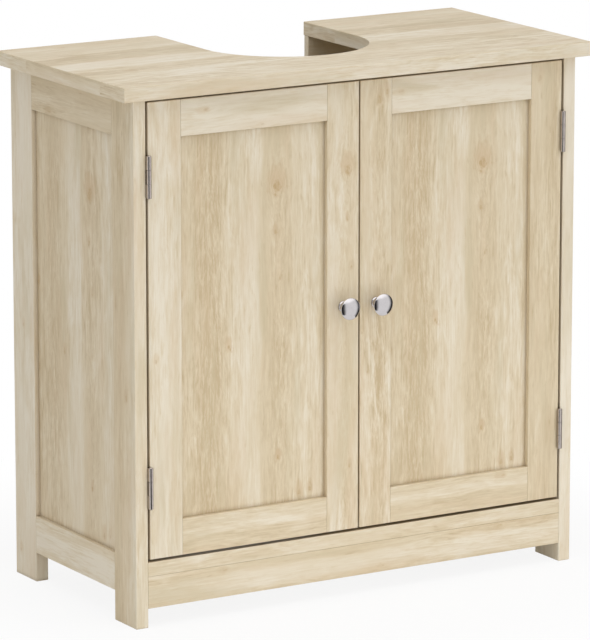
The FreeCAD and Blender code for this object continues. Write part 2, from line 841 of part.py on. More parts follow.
def save_carcass():
    """The fixed boards and what joins them."""
    save("top_panel", top_panel())
    save("bottom_panel", bottom_panel())
    save("front_apron", apron())
    save("shelf", shelf())
    save_pair("front_leg", front_leg())
    save_pair("back_leg", back_leg())
    save_pair("upper_side_rail", upper_side_rail())
    save_pair("lower_side_rail", lower_side_rail())
    save_pair("side_panel", side_panel())
    save_pair("back_panel", back_panel())
    save("shelf_pins", both_sides([shelf_pin(pin_y) for pin_y in shelf_pin_ys]))
    bolts = [cam_bolt(point, DOWN) for point in top_bolt_points]
    bolts += [cam_bolt(point, LEFT) for point in bottom_bolt_points]
    save("cam_bolts", both_sides(bolts))
    cams = [cam_lock(point, DOWN, RIGHT, leg_thickness) for point in top_bolt_points]
    cams += [cam_lock(point, LEFT, UP, bottom_thickness) for point in bottom_bolt_points]
    save("cam_locks", both_sides(cams))
    dowels = [dowel(point, DOWN) for point in top_dowel_points]
    dowels += [dowel(point, LEFT) for point in bottom_dowel_points]
    dowels += [dowel(apron_end_dowel_point, LEFT), dowel(apron_top_dowel_point, DOWN)]
    save("dowels", both_sides(dowels))
    back_screws = [screw(point, FRONT, long_screw_length) for point in back_screw_points]
    save("back_panel_screws", both_sides(back_screws))


def save_hinges():
    """The hinges' leaves, pins and screws."""
    for place, level in zip(("lower", "upper"), hinge_levels):
        middle = level + hinge_height / 2
        frame_points = [point for point in frame_screw_points if abs(point.z - middle) < hinge_height]
        door_points = [point for point in door_screw_points if abs(point.z - middle) < hinge_height]
        save_pair(place + "_hinge_frame_leaf", frame_leaf(level, frame_points))
        save_pair(place + "_hinge_door_leaf", door_leaf(level, door_points))
        save_pair(place + "_hinge_pin", hinge_pin(level))
    frame_screws = [screw(point, RIGHT, screw_length) for point in frame_screw_points]
    save("hinge_frame_screws", both_sides(frame_screws))


def save_doors():
    """The doors' wooden pieces and what is fixed to them."""
    save_pair("door_hinge_stile", hinge_stile())
    save_pair("door_meeting_stile", meeting_stile())
    save_pair("door_top_rail", door_top_rail())
    save_pair("door_bottom_rail", door_bottom_rail())
    save_pair("door_panel", door_panel())
    save_pair("knob", knob())
    save_pair("knob_screw", knob_screw())
    save_pair("strike_plate", strike_plate())
    door_screws = [screw(point, LEFT, screw_length) for point in door_screw_points]
    door_screws.append(screw(strike_screw_point, FRONT, screw_length))
    save_pair("door_screws", Part.makeCompound(door_screws))


def save_catches():
    """The magnetic catches under the top."""
    save_pair("catch_body", catch_body())
    save("catch_magnets", both_sides([magnet_block(0, 0)]))
    catch_screws = [screw(point, UP, screw_length) for point in catch_screw_points]
    save("catch_screws", both_sides(catch_screws))


os.makedirs("parts", exist_ok=True)
save_carcass()
save_hinges()
save_doors()
save_catches()
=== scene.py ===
"""Finishes, detailed fittings and a plain studio for an under-sink cabinet.

The cabinet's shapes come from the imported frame. Its boards get a printed wood-grain finish, each with its own
bands, streaks and knots, and the knobs, hinges and catches are remade with the detail of the real fittings.
"""

import math

import bmesh
import bpy
from mathutils import Euler, Matrix, Vector


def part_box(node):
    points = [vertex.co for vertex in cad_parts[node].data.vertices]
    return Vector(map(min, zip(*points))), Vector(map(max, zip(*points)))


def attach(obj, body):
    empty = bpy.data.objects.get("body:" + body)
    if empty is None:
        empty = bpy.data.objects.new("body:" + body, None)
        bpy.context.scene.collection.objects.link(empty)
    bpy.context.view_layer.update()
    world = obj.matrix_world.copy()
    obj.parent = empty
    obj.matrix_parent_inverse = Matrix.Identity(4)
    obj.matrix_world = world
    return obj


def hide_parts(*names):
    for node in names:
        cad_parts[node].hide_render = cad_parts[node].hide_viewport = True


bl_info = {
    "name": "Under-sink cabinet",
    "version": (1, 0, 0),
    "blender": (4, 5, 0),
    "location": "3D View > Sidebar > Cabinet",
    "description": "Finishes and fittings for an under-sink cabinet, and a plain studio",
    "category": "Object",
}

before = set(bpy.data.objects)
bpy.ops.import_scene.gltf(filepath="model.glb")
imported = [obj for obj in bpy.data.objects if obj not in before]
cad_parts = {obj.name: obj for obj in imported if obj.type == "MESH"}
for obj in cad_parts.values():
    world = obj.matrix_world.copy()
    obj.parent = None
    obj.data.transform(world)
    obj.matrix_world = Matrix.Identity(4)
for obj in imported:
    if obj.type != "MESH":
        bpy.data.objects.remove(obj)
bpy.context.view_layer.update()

SIDES = ("left", "right")
LEVELS = ("lower", "upper")
MM = 0.001
ORIGIN = (0, 0, 0)
ACROSS, DEEP, UP = (Vector(axis) for axis in ((1, 0, 0), (0, 1, 0), (0, 0, 1)))
WHITE = (1, 1, 1, 1)

# Turns that bring a board's grain to the pattern's Z axis and its width to its X axis, and which way along
# its Y axis the face that shows lies
QUARTER = math.pi / 2
GRAIN_TURNS = {
    "front_upright": ((0, 0, 0), -1),
    "side_upright": ((0, 0, -QUARTER), 1),
    "front_across": ((0, QUARTER, 0), -1),
    "side_across": ((QUARTER, 0, QUARTER), -1),
    "flat_across": ((QUARTER, QUARTER, 0), -1),
}


# Settings that a user would change

def colour_setting(name, description, default):
    """A colour that a user can change."""
    return bpy.props.FloatVectorProperty(
        name=name, description=description, subtype="COLOR", size=3, min=0, max=1, default=default,
    )


class CabinetWoodSettings(bpy.types.PropertyGroup):
    """The colours and the fineness of the wood-grain print."""
    tan: colour_setting("Tan", "Darkest of the broad bands", (0.560, 0.440, 0.272))
    sand: colour_setting("Sand", "Middle tone of the print", (0.712, 0.602, 0.425))
    cream: colour_setting("Cream", "Lightest of the broad bands", (0.815, 0.738, 0.600))
    blush: colour_setting("Blush", "Warm streaks and the wood round the knots", (0.690, 0.530, 0.350))
    olive: colour_setting("Olive", "Cooler streaks in the tan bands", (0.610, 0.515, 0.340))
    knot: colour_setting("Knot", "Heart of a knot", (0.480, 0.315, 0.140))
    fineness: bpy.props.FloatProperty(
        name="Fineness", description="How closely the grain's streaks lie", min=0.2, max=4, default=1,
    )


class CabinetMetalSettings(bpy.types.PropertyGroup):
    """The colours of the fittings."""
    chrome: colour_setting("Chrome", "Polished plate of the knobs", (0.60, 0.575, 0.585))
    nickel: colour_setting("Nickel", "Satin plate of the hinges", (0.50, 0.45, 0.42))
    zinc: colour_setting("Zinc", "Plate of the screws and bolts", (0.56, 0.56, 0.55))
    casting: colour_setting("Casting", "Dull metal of the cam locks", (0.42, 0.42, 0.42))
    magnet: colour_setting("Magnet", "Dark plate of the catches' magnets", (0.30, 0.30, 0.31))
    plastic: colour_setting("Plastic", "Moulded catch bodies", (0.78, 0.75, 0.69))
    beech: colour_setting("Beech", "Raw wood of the dowels", (0.60, 0.42, 0.25))


class CabinetStudioSettings(bpy.types.PropertyGroup):
    """The camera, the even light and the floor."""
    lens: bpy.props.FloatProperty(
        name="Lens", description="Focal length for a 36 mm sensor, in millimetres", min=20, max=600,
        default=281,
    )
    camera_place: bpy.props.FloatVectorProperty(
        name="Camera place", description="Where the camera stands", subtype="TRANSLATION", unit="LENGTH",
        size=3, default=(-2.8374, -4.7045, 1.5022),
    )
    camera_turn: bpy.props.FloatProperty(
        name="Camera turn", description="How far the camera looks round to the right", subtype="ANGLE",
        default=math.radians(31.053),
    )
    camera_tilt: bpy.props.FloatProperty(
        name="Camera tilt", description="How far the camera looks down", subtype="ANGLE",
        default=math.radians(12.457),
    )
    ambient: bpy.props.FloatProperty(
        name="Ambient", description="Strength of the even light all round", min=0, max=3, default=0.55,
    )
    floor_radius: bpy.props.FloatProperty(
        name="Floor radius", description="Size of the round floor", unit="LENGTH", min=1, max=50, default=12,
    )


# Node building

def feed(socket, value):
    """Links a socket to another, or sets its own value."""
    if isinstance(value, bpy.types.NodeSocket):
        socket.id_data.links.new(value, socket)
    else:
        socket.default_value = value


def feed_all(sockets, values):
    """Feeds each socket that the values name."""
    for name, value in values.items():
        feed(sockets[name], value)


def add_node(tree, kind, inputs=None, **settings):
    """A node with its settings, and with numbers or links on its inputs."""
    made = tree.nodes.new(kind)
    for name, value in settings.items():
        setattr(made, name, value)
    feed_all(made.inputs, inputs or {})
    return made


def tree_of(*values):
    """The node tree of the first value that is a socket."""
    return next(value.id_data for value in values if isinstance(value, bpy.types.NodeSocket))


def calculate(operation, *values):
    """The result of one Math node."""
    made = add_node(tree_of(*values), "ShaderNodeMath", dict(enumerate(values)), operation=operation)
    return made.outputs["Value"]


def plus(first, second):
    """The sum of two values."""
    return calculate("ADD", first, second)


def minus(first, second):
    """One value less another."""
    return calculate("SUBTRACT", first, second)


def times(first, second):
    """The product of two values."""
    return calculate("MULTIPLY", first, second)


def over(first, second):
    """One value divided by another."""
    return calculate("DIVIDE", first, second)


def larger(first, second):
    """The larger of two values."""
    return calculate("MAXIMUM", first, second)


def swing(pattern, amount):
    """A pattern from 0 to 1 that now swings both ways round nothing, by an amount."""
    return times(minus(pattern, 0.5), amount)


def squares(first, *others):
    """The sum of the squares of some values."""
    total = times(first, first)
    for value in others:
        total = plus(total, times(value, value))
    return total


def vector_calculate(operation, *values):
    """The result of one Vector Math node."""
    made = add_node(tree_of(*values), "ShaderNodeVectorMath", dict(enumerate(values)), operation=operation)
    return made.outputs["Vector"]


def split(vector):
    """A vector's three parts, by the names of the axes."""
    return add_node(tree_of(vector), "ShaderNodeSeparateXYZ", {"Vector": vector}).outputs


def join(x, y=0.0, z=0.0):
    """A vector of three values."""
    return add_node(tree_of(x, y, z), "ShaderNodeCombineXYZ", {"X": x, "Y": y, "Z": z}).outputs["Vector"]


def remap(value, low, high, new_low=0.0, new_high=1.0, smooth=False):
    """A value moved from one range to another, and held inside it."""
    made = add_node(
        tree_of(value), "ShaderNodeMapRange",
        {"Value": value, "From Min": low, "From Max": high, "To Min": new_low, "To Max": new_high},
        interpolation_type="SMOOTHSTEP" if smooth else "LINEAR",
    )
    return made.outputs["Result"]


def noise(vector, name, fineness=1.0):
    """One of the named noises, drawn finer across the grain where fineness is over 1."""
    scale, detail, roughness, distortion = NOISES[name]
    if isinstance(scale, tuple):
        across, deep, along = scale
        vector = vector_calculate("MULTIPLY", vector, (across * fineness, deep * fineness, along))
        scale = 1
    made = add_node(
        tree_of(vector), "ShaderNodeTexNoise",
        {
            "Vector": vector, "Scale": scale, "Detail": detail, "Roughness": roughness,
            "Distortion": distortion,
        },
    )
    return made.outputs["Fac"]


# Each noise's scale per metre, alone or along X, Y and Z, and its detail, roughness and distortion
NOISES = {
    "knot edge": ((240, 240, 130), 3, 0.6, 0),
    "knot speckle": ((700, 700, 380), 2, 0.6, 0),
    "flame sway": ((0, 0, 9), 2, 0.5, 0),
    "flame feather": ((300, 60, 78), 4, 0.66, 1.3),
    "flame stretch": ((0, 0, 6.5), 1, 0.5, 0),
    "band wander": ((16, 16, 7), 3, 0.55, 0),
    "broad sway": ((9, 9, 3.2), 2, 0.5, 0),
    "small sway": ((55, 55, 26), 2, 0.5, 0),
    "cloud": ((26, 26, 5), 3, 0.5, 0),
    "figure": ((15, 15, 3.6), 2, 0.5, 0),
    "warm streak": ((40, 40, 5), 3, 0.6, 0),
    "cool streak": ((38, 38, 4), 3, 0.6, 0),
    "curl": ((95, 95, 26), 4, 0.6, 1.2),
    "streak": ((165, 165, 10), 5, 0.6, 0),
    "thread": ((400, 400, 34), 4, 0.7, 0.4),
    "fibre": ((620, 620, 26), 3, 0.6, 0),
    "pore": ((320, 320, 48), 2, 0.5, 0),
    "raw fibre": ((40, 1500, 1500), 3, 0.6, 0),
    "smudge": (160, 3, 0.6, 0),
    "scratch": (900, 3, 0.6, 0),
    "spark": (2600, 2, 0.5, 0),
}


def rgba(colour):
    """A colour or a tone of grey as the four numbers that a socket takes."""
    return (colour, colour, colour, 1) if isinstance(colour, (int, float)) else (*colour, 1)


def blend_colours(factor, first, second):
    """Two colours mixed by a factor."""
    values = {"Factor": factor, 6: first, 7: second}
    return add_node(tree_of(factor), "ShaderNodeMix", values, data_type="RGBA").outputs[2]


def ramp(factor, stops, interpolation="LINEAR"):
    """A ramp through stops, each a position with a colour or a tone of grey."""
    made = add_node(tree_of(factor), "ShaderNodeValToRGB", {"Fac": factor})
    made.color_ramp.interpolation = interpolation
    elements = made.color_ramp.elements
    elements[0].position, elements[1].position = stops[0][0], stops[-1][0]
    for position, _ in stops[1:-1]:
        elements.new(position)
    for element, (_, colour) in zip(elements, stops):
        element.color = rgba(colour)
    return made.outputs["Color"]


def relief(height, strength, depth):
    """A normal with a fine relief."""
    made = add_node(
        tree_of(height), "ShaderNodeBump", {"Strength": strength, "Distance": depth, "Height": height}
    )
    return made.outputs["Normal"]


def new_group(name, inputs, outputs):
    """The inputs and outputs of a new shader node group, where an input with three numbers is a vector."""
    tree = bpy.data.node_groups.new(name, "ShaderNodeTree")
    for label, default in inputs.items():
        kind = "NodeSocketVector" if isinstance(default, tuple) else "NodeSocketFloat"
        tree.interface.new_socket(label, in_out="INPUT", socket_type=kind).default_value = default
    for label, kind in outputs.items():
        tree.interface.new_socket(label, in_out="OUTPUT", socket_type="NodeSocket" + kind)
    return tree.nodes.new("NodeGroupInput").outputs, tree.nodes.new("NodeGroupOutput").inputs


def place_group(name, inputs):
    """The outputs of one use of a node group, with its own values."""
    group = bpy.data.node_groups[name]
    return add_node(tree_of(*inputs.values()), "ShaderNodeGroup", inputs, node_tree=group).outputs


def emptied_tree(owner):
    """The node tree of a material or world, with nothing in it."""
    owner.use_nodes = True
    owner.node_tree.nodes.clear()
    return owner.node_tree


def object_place(tree):
    """Object coordinates."""
    return add_node(tree, "ShaderNodeTexCoord").outputs["Object"]


def new_material(name):
    """A material, the inputs of its Principled shader, and its object coordinates."""
    material = bpy.data.materials.new(name)
    tree = emptied_tree(material)
    shader = tree.nodes.new("ShaderNodeBsdfPrincipled")
    add_node(tree, "ShaderNodeOutputMaterial", {"Surface": shader.outputs["BSDF"]})
    return material, shader.inputs, object_place(tree)


# Wood print

# How gently the grain bends close to a knot, and how far above its heart its surround lies, in knot lengths
KNOT_EASE = 0.35
HALO_RISE = 0.7


def build_knot_group():
    """Bends the grain round one knot, and gives the knot's dark heart and its tinted surround."""
    given, result = new_group(
        "knot",
        {
            "Vector": ORIGIN, "Centre": ORIGIN, "Radius": 0.004, "Length": 2.0, "Strength": 1.0,
            "Heart": 0.0, "Surround": 0.0,
        },
        {"Vector": "Vector", "Heart": "Float", "Surround": "Float"},
    )
    parts = split(vector_calculate("SUBTRACT", given["Vector"], given["Centre"]))
    ragged = noise(given["Vector"], "knot edge")
    across = over(parts["X"], given["Radius"])
    deep = over(parts["Y"], given["Radius"])
    along = over(parts["Z"], times(given["Radius"], given["Length"]))
    distance = squares(across, along, deep)
    shift = times(times(parts["X"], over(1.0, plus(distance, KNOT_EASE))), -1.0)
    heart = remap(times(distance, remap(ragged, 0.3, 0.7, 0.2, 3.4)), 1.3, 0.0, smooth=True)
    heart = times(heart, remap(noise(given["Vector"], "knot speckle"), 0.35, 0.6, 0.25, 1.0))
    halo = squares(across, minus(along, HALO_RISE), deep)
    surround = remap(times(halo, remap(ragged, 0.3, 0.7, 0.5, 2.0)), 7.0, 0.2, smooth=True)
    feed_all(result, {
        "Vector": vector_calculate("ADD", given["Vector"], join(shift)),
        "Heart": larger(times(heart, given["Strength"]), given["Heart"]),
        "Surround": larger(times(surround, given["Strength"]), given["Surround"]),
    })


# How far the lines of the flames, the grain and the edges of the bands sway, in metres
FLAME_SWAY = 0.018
BROAD_SWAY = 0.016
SMALL_SWAY = 0.0034
BAND_SWAY = 0.022


def build_flame_group():
    """Pointed, feathered figure that runs along one line of a board."""
    given, result = new_group(
        "flame",
        {"Vector": ORIGIN, "Line": 0.0, "Reach": 0.015, "Slope": 3.0, "Strength": 1.0, "Flame": 0.0},
        {"Flame": "Float"},
    )
    parts = split(given["Vector"])
    line = plus(given["Line"], swing(noise(given["Vector"], "flame sway"), FLAME_SWAY))
    aside = calculate("ABSOLUTE", minus(parts["X"], line))
    folded = join(parts["X"], parts["Y"], plus(parts["Z"], times(aside, given["Slope"])))
    flame = remap(noise(folded, "flame feather"), 0.38, 0.62, -0.7, 1.0)
    flame = times(flame, remap(aside, given["Reach"], 0.0, smooth=True))
    flame = times(flame, remap(noise(given["Vector"], "flame stretch"), 0.34, 0.50, 0.25, 1.0))
    feed(result["Flame"], plus(times(flame, given["Strength"]), given["Flame"]))


# How much darker flames, pores and the wood round a knot are, how strong the warm and cool tints are, and how
# deep the pores are
FLAME_DARK = 0.26
PORE_DARK = 0.22
SURROUND_DARK = 0.34
FLAME_WARMTH = 0.35
SURROUND_WARMTH = 0.55
STREAK_WARMTH = 0.35
STREAK_COOLNESS = 0.5
PORE_DEPTH = 0.8


def build_print_group(wood):
    """The printed grain: broad bands, clouds, streaks, fibres, warm and cool streaks and knots."""
    given, result = new_group(
        "wood_print",
        {
            "Vector": ORIGIN, "Seed": ORIGIN, "Band": 0.5, "Heart": 0.0, "Surround": 0.0, "Flame": 0.0,
            "Clouds": 0.5, "Streaks": 0.8, "Curl": 0.6, "Fibres": 0.7,
        },
        {"Color": "Color", "Roughness": "Float", "Height": "Float"},
    )
    place = vector_calculate("ADD", given["Vector"], given["Seed"])
    shift = swing(noise(place, "broad sway"), BROAD_SWAY)
    shift = plus(shift, swing(noise(place, "small sway"), SMALL_SWAY))
    place = vector_calculate("ADD", place, join(shift, shift))
    streak, curl, thread, fibre, pore = (
        noise(place, name, wood.fineness) for name in ("streak", "curl", "thread", "fibre", "pore")
    )
    pores = remap(pore, 0.64, 0.73)
    grain = 0.0
    for pattern, strength in ((streak, "Streaks"), (curl, "Curl"), (thread, "Fibres"), (fibre, "Fibres")):
        grain = plus(grain, swing(pattern, given[strength]))
    tone = plus(given["Band"], swing(noise(place, "cloud"), given["Clouds"]))
    tone = plus(tone, times(grain, remap(noise(place, "figure"), 0.38, 0.62, 0.55, 1.45)))
    for mask, dark in ((given["Flame"], FLAME_DARK), (pores, PORE_DARK), (given["Surround"], SURROUND_DARK)):
        tone = minus(tone, times(mask, dark))
    warm = times(remap(noise(place, "warm streak"), 0.50, 0.72), STREAK_WARMTH)
    warm = larger(warm, times(given["Flame"], FLAME_WARMTH))
    warm = larger(warm, times(given["Surround"], SURROUND_WARMTH))
    cool = times(remap(noise(place, "cool streak"), 0.47, 0.30), STREAK_COOLNESS)
    heart = times(given["Heart"], remap(fibre, 0.35, 0.62, 1.0, 0.55))
    colour = ramp(tone, ((0, wood.tan), (0.5, wood.sand), (1, wood.cream)))
    for mask, tint in ((cool, wood.olive), (warm, wood.blush), (heart, wood.knot)):
        colour = blend_colours(mask, colour, rgba(tint))
    feed_all(result, {
        "Color": colour,
        "Roughness": remap(streak, 0.3, 0.7, 0.5, 0.42),
        "Height": minus(fibre, times(pores, PORE_DEPTH)),
    })


def wood_material(
    node, turn, seed, bands, knots=(), flames=(), strengths=None, shade_strength=0.60, sill=1.0, corner_light=0.88,
):
    """A board's own printed finish, centred on the board.

    bands are (share of the width, tone) with tone 0 for tan and 1 for cream. knots are
    (share of the width, share of the length, radius in millimetres, strength), on the face that shows.
    flames are (share of the width, reach in millimetres, slope, strength). strengths are the print's own
    inputs. The last three set the painted shade in the inner corners: the most that it darkens them, the share
    of it that the board's low end keeps, and how much light a spot has where it starts.
    """
    material, shader, place = new_material("wood_" + node)
    angles, front = GRAIN_TURNS[turn]
    turning = Euler(angles)
    low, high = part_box(node)
    middle = turning.to_matrix() @ ((low + high) / 2)
    size = [abs(part) for part in turning.to_matrix() @ (high - low)]
    mapping = {"Vector": place, "Rotation": turning, "Location": -middle}
    place = add_node(tree_of(place), "ShaderNodeMapping", mapping).outputs["Vector"]
    if turn == "flat_across":
        place = place_group("edging", {"Vector": place})["Vector"]
    place, heart, surround = knotted(place, knots, size, front)
    printed = place_group("wood_print", {
        "Vector": place, "Seed": seed_offset(seed), "Band": band_tone(place, size[0], seed, bands),
        "Heart": heart, "Surround": surround, "Flame": flamed(place, flames, size[0]), **(strengths or {}),
    })
    # Painted shade: the base colour is darkened towards a brown in the inner corners
    painted_shade = place_group("painted_corner_shade", {
        "Vector": place, "Length": size[2], "Shade Strength": shade_strength, "Sill": sill, "Light": corner_light,
    })["Painted Shade"]
    feed_all(shader, {
        "Base Color": blend_colours(painted_shade, printed["Color"], PAINTED_SHADE_BROWN), "Roughness": printed["Roughness"],
        "Specular IOR Level": WOOD_GLOSS, "Normal": relief(printed["Height"], 0.25, 0.2 * MM),
    })
    return material


WOOD_GLOSS = 0.2

# Small knots are oval, and above this radius in millimetres they are nearly round
ROUND_RADIUS = 4.0
ROUND_LENGTH = 1.35
OVAL_LENGTH = 2.0

# Painted shade in the inner corners, darkening the colour where ambient occlusion finds them: how far it
# reaches, over what span of light it fades in, and how high up a board the sill's share reaches
CORNER_REACH = 0.0065
CORNER_SPAN = 0.58
SILL_REACH = 0.014
PAINTED_SHADE_BROWN = (0.235, 0.155, 0.065, 1)


def knotted(place, knots, size, front):
    """The grain bent round a board's knots, and the knots' hearts and surrounds."""
    width, depth, length = size
    heart = surround = 0.0
    for across, along, radius, strength in knots:
        knot = place_group("knot", {
            "Vector": place, "Centre": ((across - 0.5) * width, front * depth / 2, (along - 0.5) * length),
            "Radius": radius * MM, "Length": ROUND_LENGTH if radius > ROUND_RADIUS else OVAL_LENGTH,
            "Strength": strength, "Heart": heart, "Surround": surround,
        })
        place, heart, surround = knot["Vector"], knot["Heart"], knot["Surround"]
    return place, heart, surround


def flamed(place, flames, width):
    """The strength of a board's flames."""
    flame = 0.0
    for across, reach, slope, strength in flames:
        flame = place_group("flame", {
            "Vector": place, "Line": (across - 0.5) * width, "Reach": reach * MM, "Slope": slope,
            "Strength": strength, "Flame": flame,
        })["Flame"]
    return flame


def build_corner_shading_group():
    """Painted shade in the inner corners, from ambient occlusion, and less of it at a low end that light
    reaches.
    """
    given, result = new_group(
        "painted_corner_shade", {"Vector": ORIGIN, "Length": 0.5, "Shade Strength": 0.6, "Sill": 1.0, "Light": 0.88},
        {"Painted Shade": "Float"},
    )
    tree = tree_of(given["Vector"])
    light = add_node(tree, "ShaderNodeAmbientOcclusion", {"Distance": CORNER_REACH}, samples=6).outputs["AO"]
    dark = remap(light, given["Light"], minus(given["Light"], CORNER_SPAN), 0.0, given["Shade Strength"])
    rise = plus(split(given["Vector"])["Z"], times(given["Length"], 0.5))
    feed(result["Painted Shade"], times(dark, remap(rise, 0.0, SILL_REACH, given["Sill"], 1.0)))


def build_edging_group():
    """On a flat board's edges, the pattern of a strip of edging that runs along them."""
    given, result = new_group("edging", {"Vector": ORIGIN}, {"Vector": "Vector"})
    place = given["Vector"]
    parts = split(place)
    facing = split(add_node(tree_of(place), "ShaderNodeTexCoord").outputs["Normal"])
    sideways, flat = (
        calculate("GREATER_THAN", calculate("ABSOLUTE", facing[axis]), EDGE_FACING) for axis in ("X", "Z")
    )
    joints = ramp(remap(parts["X"], -EDGE_REACH, EDGE_REACH), EDGE_JOINTS, "CONSTANT")
    aside = plus(parts["Y"], times(swing(joints, 2 * EDGE_REACH), sideways))
    strip = join(aside, EDGE_DEPTH, plus(parts["X"], parts["Z"]))
    values = {"Factor": flat, 4: strip, 5: place}
    feed(result["Vector"], add_node(tree_of(place), "ShaderNodeMix", values, data_type="VECTOR").outputs[1])


# Where the pieces of edging on a short edge start, from the front, and the share of the width whose tone
# each has, then half the top's depth, the edging's own place in the noise, and how squarely an edge faces
EDGE_JOINTS = ((0, 0.75), (0.18, 0.435), (0.76, 0.22))
EDGE_REACH = 0.145
EDGE_DEPTH = 0.05
EDGE_FACING = 0.6


def seed_offset(seed):
    """A board's own place in the noise."""
    return (seed * 1.37, seed * 0.71, seed * 2.19)


def build_share_group():
    """The share of a board's width at each spot, along lines that wander a little."""
    given, result = new_group(
        "share_across", {"Vector": ORIGIN, "Seed": ORIGIN, "Width": 0.1}, {"Share": "Float"}
    )
    place = vector_calculate("ADD", given["Vector"], given["Seed"])
    across = plus(split(given["Vector"])["X"], swing(noise(place, "band wander"), BAND_SWAY))
    feed(result["Share"], remap(over(across, given["Width"]), -0.5, 0.5))


def band_tone(place, width, seed, bands):
    """The tone of the broad bands across a board."""
    values = {"Vector": place, "Seed": seed_offset(seed + 1), "Width": width}
    return ramp(place_group("share_across", values)["Share"], bands, "EASE")


# Tones across each kind of board, and its knots and flames
PANEL_BANDS = (
    (0, 0.56), (0.12, 0.44), (0.20, 0.30), (0.28, 0.34), (0.38, 0.58), (0.46, 0.74), (0.54, 0.74),
    (0.59, 0.44), (0.72, 0.44), (0.82, 0.62), (0.92, 0.68), (1, 0.60),
)
PANEL_KNOTS = (
    (0.66, 0.83, 7.0, 0.9), (0.65, 0.715, 1.9, 0.8), (0.68, 0.595, 1.6, 0.5), (0.35, 0.435, 2.4, 0.9),
    (0.665, 0.135, 2.0, 1.0), (0.80, 0.035, 2.8, 0.6), (0.87, 0.04, 2.4, 0.5), (0.045, 0.58, 1.7, 0.8),
    (0.045, 0.37, 1.3, 0.6),
)
PANEL_FLAMES = ((0.23, 34, 3.2, 1.0), (0.68, 22, -2.6, 0.7))
TOP_BANDS = (
    (0, 0.58), (0.10, 0.42), (0.17, 0.65), (0.27, 0.67), (0.32, 0.36), (0.41, 0.36), (0.46, 0.78),
    (0.55, 0.78), (0.60, 0.22), (0.71, 0.24), (0.77, 0.56), (0.90, 0.56), (1, 0.28),
)
LIGHT_BANDS = ((0, 0.72), (0.4, 0.90), (0.75, 0.74), (1, 0.84))
PLAIN_BANDS = ((0, 0.45), (0.3, 0.6), (0.6, 0.4), (1, 0.6))
LEFT_STILE_BANDS = ((0, 0.62), (0.3, 0.76), (0.6, 0.56), (1, 0.72))
LEFT_STILE_KNOTS = (
    (0.65, 0.81, 5.4, 0.9), (0.63, 0.70, 1.5, 0.7), (0.78, 0.59, 1.6, 0.6), (0.72, 0.144, 1.8, 0.6),
)
RIGHT_STILE_KNOTS = (
    (0.62, 0.955, 3.2, 0.5), (0.82, 0.97, 2.6, 0.5), (0.07, 0.44, 1.6, 0.5), (0.25, 0.35, 1.4, 0.5),
)
BOTTOM_BANDS = ((0, 0.46), (0.5, 0.60), (1, 0.50))
TAN_BANDS = ((0, 0.36), (0.4, 0.46), (0.7, 0.34), (1, 0.44))
PALE_BANDS = ((0, 0.94), (0.5, 0.90), (1, 0.78))
LEG_BANDS = ((0, 0.74), (0.10, 0.70), (0.22, 0.54), (0.45, 0.50), (0.6, 0.32), (1, 0.36))
# The top rails' tones are raised overall and most towards their top edge: painted light against the shade under
# the top's overhang
TOP_RAIL_BANDS = ((0, 0.80), (0.15, 0.94), (0.38, 0.94), (0.5, 0.86), (0.85, 0.92), (1, 0.98))
LEFT_LOW_RAIL_BANDS = ((0, 0.48), (0.35, 0.54), (0.45, 0.74), (0.6, 0.74), (0.7, 0.56), (1, 0.54))
RIGHT_LOW_RAIL_BANDS = ((0, 0.42), (0.4, 0.46), (0.55, 0.70), (0.78, 0.68), (0.9, 0.50), (1, 0.50))
APRON_BANDS = ((0, 0.48), (0.22, 0.76), (0.62, 0.76), (0.78, 0.46), (1, 0.42))
LOW_SIDE_RAIL_BANDS = ((0, 0.66), (0.35, 0.98), (0.65, 0.96), (0.8, 0.74), (1, 0.70))
# Painted corner shade: panels keep less of it at their low end, the meeting stiles get less of it, and beside
# the hinges it starts only where less light reaches
PANEL = dict(bands=PANEL_BANDS, knots=PANEL_KNOTS, flames=PANEL_FLAMES, sill=0.3)
MEETING_STILE = dict(shade_strength=0.32, strengths={"Streaks": 1.2, "Curl": 1.0, "Fibres": 1.0})
RAIL = dict(strengths={"Clouds": 0.4, "Streaks": 0.6, "Curl": 0.45, "Fibres": 0.55})
TOP_PRINT = {"Clouds": 0.8, "Streaks": 1.1, "Curl": 1.0, "Fibres": 1.1}
BESIDE_HINGE = dict(corner_light=0.62)


def board(turn, seed, bands, **more):
    """How one board is printed."""
    return dict(turn=turn, seed=seed, bands=bands, **more)


def mirrored(places):
    """The same bands, knots or flames counted from the board's other edge."""
    return tuple((1 - place[0], *place[1:]) for place in reversed(places))


